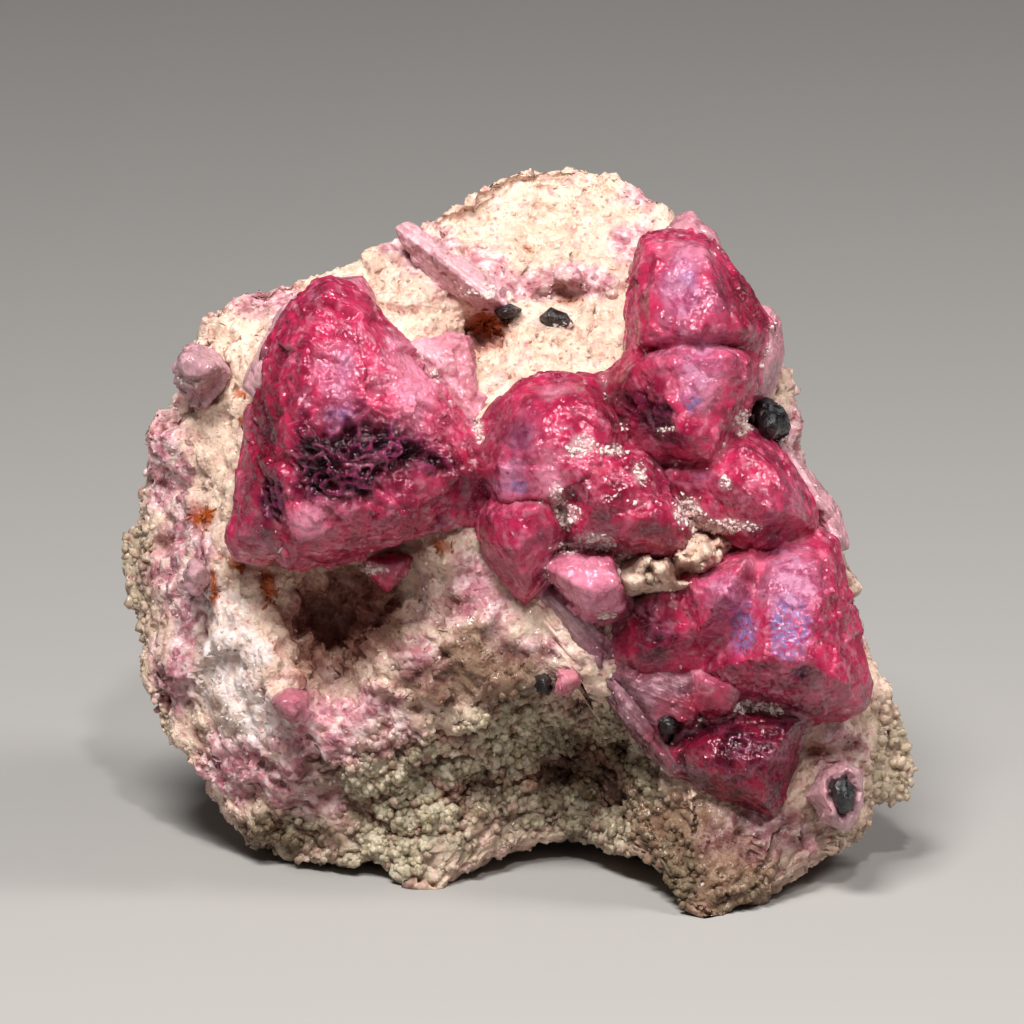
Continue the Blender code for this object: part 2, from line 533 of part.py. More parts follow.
def build_matrix(collection):
    """The rock: a gridded cube blown up to a ball, carried on to the rim and reliefs."""
    shape = bmesh.new()
    bmesh.ops.create_cube(shape, size=2.0)
    bmesh.ops.subdivide_edges(
        shape, edges=shape.edges[:], cuts=CAGE_SQUARES - 1, use_grid_fill=True
    )
    cage = np.array([v.co for v in shape.verts])
    cage = np.tan(cage * math.pi / 4)
    ball = cage / np.linalg.norm(cage, axis=1)[:, None] + (0, 0, FRONT_SHARE)
    ball /= np.linalg.norm(ball, axis=1)[:, None]
    smooth = matrix_places(ball)
    rough = np.zeros(len(ball))
    for size, height, seed in BLOCKS:
        rough += block_faces(smooth, size, seed) * height
    for size, height, seed in LUMPS:
        rough += lumpiness(smooth, size, seed) * height
    calm = EDGE_CALM + (1 - EDGE_CALM) * np.abs(ball[:, 2])
    sheet = smooth + ball * (rough * calm)[:, None]
    for vertex, place in zip(shape.verts, to_world(sheet)):
        vertex.co = place
    bmesh.ops.triangulate(shape, faces=shape.faces[:])
    return add_object("matrix", shape, collection, "matrix")


def crystal_hull(rim, rim_out, crown):
    """One crystal as the hull of its crown, its rim, and a narrower root in the rock.

    The rim lies rim_out, or on the rock where that stands further out.
    """
    rim = np.array(rim, float)
    root = rim.mean(axis=0) + (rim - rim.mean(axis=0)) * ROOT_SHARE
    corners = np.vstack(
        (
            np.column_stack((rim, np.maximum(rim_out, rock_out(rim)))),
            np.column_stack((root, rock_out(root) - ROOT_DEPTH)),
            np.array(crown, float),
        )
    )
    shape = bmesh.new()
    for corner in to_world(corners):
        shape.verts.new(corner)
    hull = bmesh.ops.convex_hull(shape, input=shape.verts[:])
    spare = {v for v in hull["geom_interior"] if isinstance(v, bmesh.types.BMVert)}
    bmesh.ops.delete(shape, geom=list(spare), context="VERTS")
    bmesh.ops.recalc_face_normals(shape, faces=shape.faces)
    return shape


def swell(shape, distance):
    """Pushes every corner of a hull outwards, to make the room that it needs in the rock."""
    shape.normal_update()
    for vertex, normal in [(v, v.normal.copy()) for v in shape.verts]:
        vertex.co += normal * distance
    return shape


def boolean(target, operation, other):
    """Cuts or joins, exactly."""
    step = target.modifiers.new(f"{operation.lower()}_{other.name}", "BOOLEAN")
    step.operation = operation
    step.object = other
    step.solver = "EXACT"


def boxes_meet(first, second):
    """Whether the bounding boxes of two objects overlap."""
    ranges = []
    for item in (first, second):
        corners = np.array([v.co for v in item.data.vertices])
        ranges.append((corners.min(axis=0), corners.max(axis=0)))
    (low_a, high_a), (low_b, high_b) = ranges
    return bool(np.all(low_a < high_b) and np.all(low_b < high_a))


def bake_steps(item):
    """Applies the cuts and drops the crumbs that they leave loose, keeping the one body."""
    graph = bpy.context.evaluated_depsgraph_get()
    mesh = bpy.data.meshes.new_from_object(item.evaluated_get(graph))
    shape = bmesh.new()
    shape.from_mesh(mesh)
    bmesh.ops.triangulate(shape, faces=shape.faces[:])
    left = set(shape.verts)
    bodies = []
    while left:
        body = set()
        edge = [left.pop()]
        while edge:
            vertex = edge.pop()
            body.add(vertex)
            near = {e.other_vert(vertex) for e in vertex.link_edges} & left
            left -= near
            edge.extend(near)
        bodies.append(body)
    crumbs = set(shape.verts) - max(bodies, key=len)
    bmesh.ops.delete(shape, geom=list(crumbs), context="VERTS")
    shape.to_mesh(mesh)
    shape.free()
    item.modifiers.clear()
    item.data = mesh


def build_floor_cutter(collection):
    """A block whose top is the level that the specimen stands on."""
    shape = bmesh.new()
    bmesh.ops.create_cube(shape, size=0.2)
    bmesh.ops.translate(shape, verts=shape.verts, vec=(0, 0, -0.1))
    return add_cutter("floor_cutter", shape, collection)


def main():
    for item in list(bpy.data.objects):
        bpy.data.objects.remove(item)
    specimen = bpy.data.collections.new("elbaite_specimen")
    cutters = bpy.data.collections.new("cutters")
    for collection in (specimen, cutters):
        bpy.context.scene.collection.children.link(collection)

    matrix = build_matrix(specimen)
    boolean(matrix, "DIFFERENCE", build_floor_cutter(cutters))

    made = []
    for name, lobes, material in CRYSTALS:
        crystal = add_object(name, crystal_hull(**lobes[0]), specimen, material)
        socket = add_cutter(
            f"{name}_socket", swell(crystal_hull(**lobes[0]), SOCKET_GAP * MM), cutters
        )
        for lobe in lobes[1:]:
            boolean(crystal, "UNION", add_cutter(name + "_lobe", crystal_hull(**lobe), cutters))
            swollen = swell(crystal_hull(**lobe), SOCKET_GAP * MM)
            boolean(socket, "UNION", add_cutter(name + "_lobe_socket", swollen, cutters))
        bpy.context.view_layer.update()
        for item in (crystal, socket):
            bake_steps(item)
        for earlier_socket in [s for _, s in made if boxes_meet(crystal, s)]:
            boolean(crystal, "DIFFERENCE", earlier_socket)
        bpy.context.view_layer.update()
        bake_steps(crystal)
        made.append((crystal, socket))
        boolean(matrix, "DIFFERENCE", socket)
    bpy.context.view_layer.update()
    bake_steps(matrix)


main()
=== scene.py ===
"""Elbaite specimen, dressed: mushroom tourmaline crystals on a sugary feldspar matrix.

Run it with Blender: blender --background --python scene.py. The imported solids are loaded
first and stay where they are. Every surface here is worked out around them.

Places marked "sheet" lie on a front view at full size, in millimetres: across from the left
edge, down from the top edge, and out towards the viewer. The view looks down by VIEW_TILT.
"""

import math

import bpy
import numpy as np
from bpy.props import FloatProperty, FloatVectorProperty, IntProperty, PointerProperty
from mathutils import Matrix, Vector


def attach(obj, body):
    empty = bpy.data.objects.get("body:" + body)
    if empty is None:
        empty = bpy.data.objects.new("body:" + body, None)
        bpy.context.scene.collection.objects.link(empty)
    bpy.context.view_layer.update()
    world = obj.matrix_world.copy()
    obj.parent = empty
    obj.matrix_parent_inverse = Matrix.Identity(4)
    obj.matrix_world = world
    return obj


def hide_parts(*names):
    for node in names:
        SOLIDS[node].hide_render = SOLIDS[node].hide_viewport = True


bl_info = {
    "name": "Elbaite Specimen",
    "version": (1, 0, 0),
    "blender": (4, 5, 0),
    "location": "View3D > Sidebar > Specimen",
    "description": "Grows the surfaces of an elbaite specimen around its solids",
    "category": "Object",
}

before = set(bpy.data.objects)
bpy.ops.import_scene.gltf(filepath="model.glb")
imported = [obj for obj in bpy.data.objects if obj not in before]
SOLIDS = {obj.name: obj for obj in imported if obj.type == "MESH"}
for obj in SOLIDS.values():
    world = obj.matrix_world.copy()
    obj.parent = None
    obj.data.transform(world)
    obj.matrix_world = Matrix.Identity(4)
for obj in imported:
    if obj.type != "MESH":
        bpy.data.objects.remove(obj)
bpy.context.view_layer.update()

# The sheet's place in the world, in millimetres and degrees
MM = 0.001
VIEW_TILT = math.radians(15.0)
CENTRE_ACROSS = 51.45
FLOOR_DOWN = 91.55
MIDDLE_BACK = 20.9
FOOT_TRIM = 0.9

# The camera's distance, the width that it sees there and the sheet's middle, at which it
# looks; metres and, on the sheet, millimetres
CAMERA_DISTANCE = 1.0
CAMERA_FIELD = 0.1024
CAMERA_AIM = (51.2, 51.2, 0.0)
SENSOR_WIDTH = 36.0

# The lights: place, width and height in metres, power in watts, colour. Then where they aim
# and the dim surround's colour and strength.
LIGHTS = {
    "key": ((-0.11, -0.29, 0.55), 0.19, 0.13, 4.6, (1.0, 0.985, 0.965)),
    "side": ((0.40, -0.08, 0.48), 0.10, 0.20, 1.9, (1.0, 0.98, 0.97)),
    "glint": ((0.05, -0.46, 0.50), 0.035, 0.035, 1.7, (1.0, 0.99, 0.98)),
}
LIGHT_AIM = (0, 0, 0.035)
SURROUND = (0.93, 0.94, 0.96, 1.0)
SURROUND_STRENGTH = 0.07
FLOOR_REACH = 6.0

# The matrix: how square its shoulders are, its middle on the sheet and its relief's softness
SQUARENESS = 2.6
MIDDLE = (51.0, 54.0)
RELIEF_SOFTNESS = 2.5
BLOCKS = ((8.5, 1.2, 11), (5.0, 0.8, 23))
LUMPS = ((4.5, 0.7, 7),)
EDGE_CALM = 0.45
BLOCK_JITTER = 0.4
BLOCK_RANGE = 0.7

# The rim of the matrix, clockwise from the top: across, down, out
RIM = (
    (57.0, 16.0, -22), (62.0, 17.0, -22), (66.0, 20.0, -19), (69.0, 22.8, -15),
    (72.0, 27.2, -12), (75.0, 32.0, -11), (77.4, 35.5, -10), (79.3, 38.5, -10),
    (80.3, 42.5, -10), (81.0, 47.0, -9), (83.4, 51.0, -8), (84.1, 54.5, -8),
    (85.8, 60.5, -9), (87.0, 64.5, -9), (88.6, 68.0, -9), (90.2, 71.5, -10),
    (92.0, 77.3, -11), (90.8, 80.0, -11), (87.5, 80.8, -10), (87.3, 83.3, -12),
    (84.0, 84.9, -9), (81.5, 86.2, -3), (78.0, 88.3, 0), (74.0, 90.4, 2),
    (70.2, 92.5, 4), (68.2, 89.8, 3), (67.0, 87.6, 1), (65.0, 86.0, -3),
    (62.0, 85.4, -8), (59.0, 84.3, -12), (57.0, 83.9, -14), (54.5, 84.6, -14),
    (51.5, 85.6, -12), (49.0, 86.2, -9), (46.0, 87.6, -7), (44.0, 89.2, -5.5),
    (41.5, 89.0, -5.5), (38.0, 86.3, -8), (33.5, 86.8, -10), (29.5, 85.2, -12),
    (25.0, 83.8, -13), (22.3, 81.5, -14), (20.0, 78.0, -14), (16.5, 74.5, -16),
    (15.0, 70.5, -17), (13.6, 67.5, -18), (12.8, 62.0, -19), (11.7, 56.5, -20),
    (12.2, 54.0, -20), (13.2, 51.5, -18), (12.9, 48.8, -18), (14.2, 46.0, -15),
    (14.4, 43.5, -14), (16.0, 40.5, -15), (18.3, 37.0, -12), (20.0, 32.2, -12),
    (23.0, 29.8, -12), (30.0, 27.6, -12), (34.0, 26.1, -12), (38.0, 24.6, -13),
    (42.0, 22.6, -14), (45.0, 20.3, -16), (48.5, 18.3, -18), (52.0, 16.5, -20),
)
# How far the front of the matrix stands out
FRONT = (
    (52, 19.5, -19), (58, 19, -20), (63, 21.5, -17), (47, 22.5, -16), (55, 23.5, -14),
    (62, 25, -12), (44, 25.5, -8), (50, 28, -6.5), (57, 27.5, -7), (63, 28.5, -7),
    (40, 28, -7), (36, 29, -8), (42, 32, -4), (52, 35.5, -3), (58, 34, -4), (61, 33, -5),
    (48, 33.6, -9), (46, 38, -3), (56.5, 30, -9.5),
    (26, 31.5, -10), (22, 33.5, -10), (24, 38, -7), (20.5, 42, -8), (22, 47, -5.5),
    (17, 45, -11), (20, 51, -5), (15.5, 50, -13), (16, 57, -11), (14, 60, -16),
    (22, 58, -2), (18, 64, -7), (24, 65, 1), (27, 69, 1.5), (22, 70, -3), (19, 73, -9),
    (26, 76, -3.5), (24, 80, -8), (31, 77, -3.5), (31, 83, -8),
    (31, 60, -9), (33, 63, -13), (37, 59, -9.5), (34, 67, -8), (27, 59, -2),
    (41, 60, -5), (29.5, 65, -3),
    (38.5, 65, 0.5), (43, 63, 1), (40, 70, 0), (46, 66, 1.5), (52, 63, 2), (50, 69, 0),
    (56.5, 66.5, 2), (57.5, 69.5, 0), (37, 75, -2), (44, 76, -3.5), (49, 76, -5),
    (40, 81, -5.5), (46, 82, -5), (42.5, 86, -5.5),
    (54, 75, -7.5), (59, 74, -8.5), (61, 79, -11), (56, 80, -11.5), (51, 81, -9),
    (61.5, 71, -2), (66.5, 79, -1.5), (66, 84, -3.5), (70, 82, 1.5), (70, 87, 3.5),
    (75, 85, 3), (80, 82, 2), (84, 79, -1), (88, 77, -7), (86, 73, -4), (84.5, 69, -2),
    (60, 50, 0), (66, 54, 1), (72, 60, 1), (78, 62, 0), (70, 70, 1), (76, 74, 1),
    (64, 64, 0.5), (66, 45, -1), (72, 38, -3), (66, 32, -4), (72, 30, -7), (78, 45, -5),
    (81, 55, -4), (84, 62, -5), (55, 45, 0), (50, 52, 0), (44, 56, 0.5), (35, 42, 0),
    (42, 48, 0.5), (28, 45, -3), (30, 52, -1),
)
# The same for the broken back
BACK = (
    (51, 54, -35), (32, 44, -30), (70, 42, -31), (56, 26, -29), (29, 68, -33),
    (74, 68, -32), (50, 78, -33), (19, 58, -28), (86, 68, -22), (40, 33, -27),
    (60, 66, -37), (44, 62, -31), (68, 82, -31), (34, 80, -31),
)
# The hidden feet at the back: the middle's across, down and out, then spread and drop
BACK_FEET = ((31.0, 80.0, -27.0, 9.0, 6.0), (73.0, 81.0, -27.0, 9.5, 8.0))

# Fine relief that the solids are too coarse for: size, height and seed, in millimetres
FINE_BLOCKS = ((2.6, 0.3, 31), (1.4, 0.16, 37))
GRAIN_BUMPS = ((1.1, 0.24, 41), (0.62, 0.12, 43))
CLUSTERS = (2.6, 1.5, 47)
PIT_SIZE = 2.1
PIT_DEPTH = 1.0
# The same where the brown look is, with a stretch of the blocks in front
BROWN_BLOCKS = (((1.3, 0.6, 1), 2.0, 67, 0.9), ((1.2, 0.7, 1), 1.1, 69, 0.3))
# Looks on the hidden sides: size of the patches, seed, where they fade in, and strength
HIDDEN_PATCHES = (("pink", 11, 91, 0.0, 0.5, 0.8), ("honey", 9, 93, 0.1, 0.6, 0.7))

# Where each look of the matrix lies on the sheet: across, down, half width, half height,
# strength. The edges between them are made ragged by noise.
ROCK_LOOKS = {
    "pink": (
        (48, 27.5, 6, 3, 0.9), (57, 28, 7, 2, 1.0), (64, 24, 4, 3, 0.7),
        (42, 25, 4, 3, 0.9), (64, 18.5, 4, 2.5, 0.6), (27, 30, 7, 2.2, 0.7),
        (16, 46, 2.6, 7, 0.9), (18, 57, 3.4, 8, 1.0), (17, 68, 3, 6, 0.8),
        (24, 77, 7, 4, 0.9), (34, 73, 9, 5, 1.0), (41, 66, 5, 4, 0.7), (30, 79, 7, 4, 0.8),
        (47, 61, 7, 4, 0.6), (56, 65, 7, 3, 0.6), (80, 45, 2, 8, 0.8), (83, 56, 2, 8, 0.7),
        (76, 83.4, 7, 4, 0.75), (84, 75, 4, 5, 0.7), (86, 66, 2, 6, 0.4), (47, 58, 3, 4, 0.7),
        (68, 46, 3, 3, 0.5),
    ),
    "white": (
        (23, 66, 4, 6, 0.9), (21, 60, 2, 4, 0.7), (25.5, 72, 4, 3, 0.9), (61, 41, 2, 3, 0.6),
        (42, 59.5, 4, 3, 0.5), (58, 55, 2, 2, 0.7), (50, 39, 3, 2, 0.6), (84, 70, 2, 3, 0.5),
    ),
    "brown": (
        (33, 61, 5, 5.5, 1.0), (36.5, 60, 4, 4.4, 0.9), (31, 66, 2, 4, 0.8), (34, 70, 6, 3, 0.4),
        (45, 70, 5, 1.6, 0.45), (54, 78, 4, 2, 0.6), (60, 77, 2.4, 4, 0.6),
        (48.3, 33.6, 2.4, 1.6, 1.0), (56, 70, 5, 2, 0.5), (81.5, 75, 1.5, 1, 0.9),
        (57, 29.4, 3, 0.8, 0.5),
    ),
    "green": (
        (42, 80, 9, 7, 1.0), (52, 76, 8, 7, 1.0), (60, 79, 6, 7, 1.0), (38, 87, 8, 4, 0.9),
        (28, 84, 6, 3, 0.7), (67, 88, 4, 5, 0.8), (60, 72, 4, 3, 0.7), (73, 89, 4, 2.5, 0.6),
    ),
    "honey": (
        (12.5, 58, 2.2, 12, 1.0), (90, 77, 3.5, 6, 0.9), (85, 83, 4, 2.5, 0.6),
        (64, 57, 1.6, 1.2, 0.4), (15, 72, 2, 6, 0.6),
    ),
    # Painted shade: the rock greyed and darkened towards the foot and in its shaded middle
    "painted_shade": (
        (48, 67, 9, 4.5, 0.85), (39, 63, 4, 4, 0.6), (31, 78, 9, 6, 0.55), (46, 80, 12, 8, 0.5),
        (60, 78, 7, 7, 0.75), (71, 87, 8, 6, 1.15), (66, 83, 4, 5, 0.8), (28, 84, 8, 3, 0.7),
        (79, 83, 5, 3, 0.6), (14, 60, 3, 10, 0.4),
    ),
    "rust": (
        (20, 51.6, 1.2, 1.3, 1.0), (21.2, 58.6, 0.5, 2.4, 0.8), (23.8, 39.3, 0.5, 0.5, 0.9),
        (24, 42, 0.4, 0.9, 0.8), (24, 55.8, 0.7, 1.1, 1.0), (26.7, 58.5, 0.8, 2, 0.8),
        (48.8, 32.2, 1.6, 1.4, 1.0), (48.8, 30.4, 0.6, 0.6, 0.8), (52.8, 24.4, 0.7, 0.5, 0.6),
        (48.8, 21.4, 0.6, 0.5, 0.5), (57, 29.8, 3.2, 0.7, 0.35), (44, 54.5, 1, 1, 0.7),
    ),
}
# Small holes in the matrix: across, down, half width, half height, depth
HOLES = (
    (48.2, 33.6, 2.0, 1.3, 3.0), (52.8, 24.5, 0.8, 0.6, 1.2), (56.3, 29.3, 3.4, 0.8, 1.2),
    (32.0, 61.5, 1.6, 2.6, 1.6), (31.0, 66.0, 0.8, 2.0, 0.9), (81.6, 75.0, 1.2, 0.7, 1.6),
    (56.0, 77.0, 2.5, 2.5, 2.2), (61.0, 78.5, 2.0, 3.0, 2.6), (36.8, 57.8, 1.6, 0.9, 1.5),
    (34.6, 62.8, 0.8, 2.6, 1.2), (50.2, 76.6, 0.6, 1.8, 1.2), (41.6, 70.8, 0.9, 0.6, 1.2),
    (47.0, 78.6, 0.7, 1.2, 1.0), (33.6, 76.0, 0.6, 1.0, 0.9), (56.6, 73.4, 1.4, 0.8, 1.4),
)

# Where the matrix swells up between the crystals: across, down, half width, half height, rise
RAISED = (
    (66.4, 57.3, 5.0, 2.2, 10.6), (60.6, 55.4, 1.4, 2.2, 3.6), (71.0, 54.9, 3.6, 2.0, 8.6),
    (76.6, 70.6, 3.4, 1.3, 2.6), (62.8, 47.4, 1.6, 1.2, 2.0), (48.4, 41.4, 1.2, 2.4, 2.5),
    (47.6, 52.4, 1.6, 3.0, 2.0), (82.0, 73.0, 2.0, 2.0, 1.5), (55.9, 33.6, 2.2, 1.2, 1.7),
    (50.4, 32.6, 1.6, 1.0, 0.9), (48.0, 29.6, 2.4, 1.6, 1.2), (43.4, 55.6, 3.0, 1.4, 2.2),
    (46.4, 37.4, 1.6, 1.6, 1.0), (60.6, 63.4, 1.6, 2.2, 1.6), (62.4, 59.0, 1.2, 1.4, 2.0),
)

# The grains strewn on the surfaces: widths from and to in millimetres, seed, how much of
# them lies evenly, which looks draw them or keep them off, and how they are stretched
FINE_SUGAR = ((0.26, 0.52), 5, 1.0, {"green": -0.7})
COARSE_SUGAR = (6, 0.02, {"green": 3.0, "honey": 2.0, "white": -1.0})
RUST_BLADES = ((0.35, 0.8), 7, 0.0, {"rust": 1.0}, (0.3, 0.7, 1.8))
WHITE_CRUMBS = ((0.2, 0.62), 8, 0.0, {"crumbs": 1.0}, (1.3, 1.0, 0.7))
RUST_COUNT = 150
CRUMB_COUNT = 2400

# Where white crumbs lie on the crystals, as the looks are given
CRUMBS = (
    (58.0, 44.5, 1.2, 1.0, 0.9), (57.0, 51.5, 1.4, 1.2, 0.9), (59.3, 54.0, 2.2, 0.9, 1.0),
    (57.0, 54.8, 1.6, 0.8, 0.9), (69.0, 51.3, 1.6, 1.4, 0.9), (72.0, 52.6, 3.4, 0.8, 0.9),
    (74.3, 42.2, 1.0, 1.4, 0.8), (62.4, 56.6, 1.0, 1.6, 0.9), (61.0, 45.2, 2.0, 0.6, 0.6),
    (64.0, 47.5, 0.8, 1.6, 0.7), (47.8, 43.0, 0.8, 1.2, 0.8), (75.0, 70.6, 3.0, 0.7, 0.8),
    (36.0, 57.0, 3.0, 0.6, 0.6), (43.5, 38.0, 0.6, 1.4, 0.6), (60.6, 61.4, 1.4, 0.6, 0.6),
    (72.2, 48.2, 0.7, 1.2, 0.7), (66.5, 43.0, 1.4, 0.5, 0.5), (79.0, 46.0, 1.0, 0.7, 0.5),
    (56.4, 32.6, 1.4, 0.7, 0.9), (50.6, 31.8, 1.4, 0.5, 0.7), (47.6, 29.0, 2.2, 1.2, 0.7),
    (18.6, 38.2, 1.6, 0.8, 0.7), (55.6, 49.6, 0.7, 2.4, 0.6), (63.4, 50.2, 2.6, 0.6, 0.5),
)

# How strongly the crystals' grids crowd towards the viewer
CRYSTAL_FRONT_SHARE = 0.3
# Their noises' first seed, and the seed of the crumbs' ragged borders
CRYSTAL_SEED = 211
CRUMB_SEED = 301
# A shift in millimetres that keeps a crystal's arms off the edges of its triangles
OFF_GRID = 0.0137
# More than any gap between two crystals, in millimetres
FAR = 99.0
# How many places are worked out at a time, to save memory
BATCH = 3000

# How far the crystals reach past their solids on each side, in millimetres, to close the
# gaps that the solids keep: across, down and out. Crystals thinner than FULL_FILL get less.
GAP_FILL = (0.75, 0.75, 0.4)
FULL_FILL = 9.0
LEAST_FILL = {"schorl_stem": 0.6, "schorl_right": 0.4}
# Crystals that close round a grain they hold, and how deep the grain's top lies in them
HELD = {"foot_crystal": "schorl_foot"}
HELD_SHARE = 0.84

# The passes that even out the grooves where a solid's forms meet are its grid's squares,
# squared, over this
GROOVE_SHARE = 150

# How wide the fillet is by which neighbouring crystals grow together, in millimetres
JOIN = 2.0

# Between which strengths each look of the crystals fades in
LOOK_BORDERS = {
    "core": (0.1, 0.85), "lilac": (0.15, 0.85), "blue": (0.25, 0.75), "pale": (0.1, 0.9),
    "deep": (0.1, 0.85), "cracked": (0.15, 0.8),
}

# Where each look of the crystals lies on the sheet, in the same way
CRYSTAL_LOOKS = {
    # The core spot at (75.0, 75.0) on the bottom crystal is painted shade; the others are the
    # dark cores
    "core": (
        (75.0, 75.0, 8.0, 4.5, 0.42), (65.5, 63.0, 3.0, 3.6, 0.3), (51.4, 43.2, 2.8, 2.0, 0.5),
        (36.6, 45.6, 7.4, 4.4, 0.95), (32.6, 46.6, 3.2, 3.4, 1.2), (39.2, 45.2, 4.8, 3.4, 1.2),
        (35.2, 48.8, 3.4, 1.8, 0.9), (43.0, 46.2, 2.5, 2.0, 0.8), (27.3, 50.2, 1.2, 2.0, 1.2),
        (30.5, 43.0, 2.0, 3.0, 0.5), (28.4, 47.4, 1.4, 2.6, 0.4),
        (65.2, 42.0, 1.7, 1.8, 1.2), (63.6, 40.4, 2.0, 2.0, 0.6), (66.6, 44.4, 1.4, 1.2, 0.7),
        (79.5, 67.2, 1.6, 0.7, 0.8), (66.4, 64.0, 1.6, 1.6, 0.6), (76.0, 66.6, 2.6, 0.7, 0.5),
        (53.5, 54.0, 1.6, 0.8, 0.4), (30.2, 44.5, 1.4, 2.2, 0.5),
    ),
    # The lilac look is partly a frosted, rougher skin and partly painted sheen: the key light's
    # broad reflection on flat faces, painted in violet
    "lilac": (
        (34.6, 38.0, 2.4, 4.4, 0.62), (34.4, 41.5, 2.6, 2.0, 0.7), (68.4, 29.0, 3.0, 3.6, 0.9),
        (69.5, 36.6, 3.2, 3.0, 0.9), (52.2, 44.0, 2.8, 2.2, 0.6), (51.6, 47.6, 2.2, 2.6, 0.8),
        (72.2, 59.0, 2.6, 2.2, 0.8), (78.6, 58.6, 3.0, 3.4, 0.9), (70.0, 47.8, 1.4, 0.9, 0.6),
        (77.5, 49.5, 1.6, 2.0, 0.3),
    ),
    "blue": (
        (69.0, 40.4, 1.3, 1.2, 0.9), (74.0, 62.6, 1.3, 2.4, 1.0), (78.8, 62.6, 2.0, 3.2, 1.0),
        (52.0, 48.6, 1.2, 1.2, 0.7), (68.6, 28.2, 1.4, 1.6, 0.5), (34.5, 41.6, 2.0, 1.0, 0.6),
    ),
    # Most pale spots are paler skin. Two are painted highlights: the middle crystal's top at
    # (56.4, 39.0) and the streak on the right crystal at (79.6, 49.8)
    "pale": (
        (31.5, 51.6, 2.6, 2.2, 0.8), (54.8, 47.8, 1.4, 2.6, 0.8), (58.6, 58.4, 3.6, 3.4, 1.0),
        (68.4, 25.4, 3.2, 1.4, 0.7), (70.5, 38.0, 4.0, 4.0, 0.45), (56.4, 39.0, 2.6, 0.7, 0.5),
        (71.6, 62.4, 1.2, 1.8, 0.4), (41.6, 38.6, 3.2, 6.0, 0.75), (79.6, 49.8, 1.0, 2.4, 0.5),
        (82.6, 68.6, 2.0, 1.4, 0.4), (76, 56, 5, 1.2, 0.4),
    ),
    "cracked": (
        (42.0, 39.5, 3.4, 6.5, 1.0), (38.0, 34.0, 2.6, 2.4, 0.8), (45.0, 44.6, 3.0, 2.6, 0.7),
        (33.0, 53.0, 3.0, 2.0, 0.7), (79.0, 59.0, 3.0, 3.0, 0.5), (57.5, 46.0, 2.0, 2.0, 0.5),
    ),
    # The deep spot at (74.6, 75.4) on the bottom crystal is painted shade
    "deep": (
        (60.8, 49.4, 4.4, 3.4, 0.6), (57.0, 39.6, 4.0, 2.0, 0.5),
        (26.6, 44.0, 1.8, 9.0, 0.8), (46.4, 47.4, 2.8, 3.0, 0.9), (74.2, 30.4, 2.4, 5.0, 0.7),
        (62.4, 40.0, 2.8, 3.4, 0.8), (64.6, 62.4, 3.4, 4.2, 1.0), (74.6, 75.4, 8.0, 6.0, 1.4),
        (38.5, 51.8, 6.0, 2.4, 0.3), (78.0, 53.2, 4.0, 1.4, 0.6), (79.4, 68.2, 6.0, 1.8, 0.6),
        (50.0, 41.0, 1.6, 1.6, 0.5), (65.6, 53.2, 3.6, 2.0, 0.7), (26.4, 53.0, 2.6, 3.0, 0.6),
    ),
}

# How each piece is grown: its grid's squares, the passes that round its edges, the height of
# its waves, plates, pits and core ridges in millimetres, and how ribbed and how pale it is
RASPBERRY = {
    "mushroom_left": (78, 2, 0.17, 0.42, 0.05, 1.5, 0, 0),
    "mushroom_left_flank": (35, 2, 0.12, 0.22, 0.04, 0.4, 0, 0),
    "mushroom_middle": (46, 2, 0.15, 0.3, 0.16, 0.2, 0, 0),
    "mushroom_centre": (46, 2, 0.15, 0.26, 0.06, 0.2, 0, 0),
    "mushroom_tooth": (38, 2, 0.12, 0.18, 0.06, 0.2, 0, 0),
    "mushroom_upper_right": (61, 2, 0.15, 0.3, 0.07, 0.7, 0, 0),
    "mushroom_right": (46, 2, 0.18, 0.16, 0.04, 0.2, 0, 0),
    "mushroom_lower_right": (65, 2, 0.13, 0.26, 0.12, 0.5, 0, 0),
    "crystal_bottom": (46, 2, 0.18, 0.2, 0.04, 0.2, 0, 0),
    "crystal_pale": (33, 1, 0.16, 0.32, 0.08, 0.1, 0, 0),
    "vug_crystal": (22, 1, 0.2, 0.35, 0.08, 0.1, 0, 0),
    "ruby_stub": (20, 1, 0.2, 0.4, 0.1, 0.1, 0, 0.25),
    "red_stub": (20, 1, 0.2, 0.3, 0.08, 0.1, 0, 0.4),
}
ROSE = {
    "rose_chunk": (26, 1, 0.09, 0.18, 0.03, 0.1, 0, 0),
    "column_top": (33, 1, 0.25, 0.3, 0.12, 0.1, 1, 0.8),
    "pale_flake": (27, 1, 0.12, 0.22, 0.05, 0.1, 0, 0.7),
    "pale_lobe": (24, 2, 0.09, 0.1, 0.04, 0.1, 0, 0),
    "brown_sliver": (30, 1, 0.15, 0.3, 0.1, 0.1, 0, 0.3),
    "cap_right": (30, 1, 0.12, 0.22, 0.05, 0.1, 0, 0.4),
    "fan_right": (30, 2, 0.12, 0.2, 0.05, 0.1, 1, 0.4),
    "edge_blade": (30, 1, 0.15, 0.25, 0.06, 0.1, 1, 0.6),
}
LILAC = {
    "lilac_slab": (33, 1, 0.15, 0.22, 0.06, 0.1, 1, 0),
    "stem_upper": (30, 1, 0.15, 0.2, 0.05, 0.1, 1, 0),
    "stem_lower": (30, 1, 0.15, 0.2, 0.05, 0.1, 1, 0),
    "lilac_knob": (28, 1, 0.25, 0.45, 0.14, 0.1, 0, 0.4),
    "lilac_stub": (20, 1, 0.3, 0.4, 0.1, 0.1, 0, 0.5),
    "foot_crystal": (30, 1, 0.1, 0.16, 0.05, 0.1, 0.6, 0.5),
}
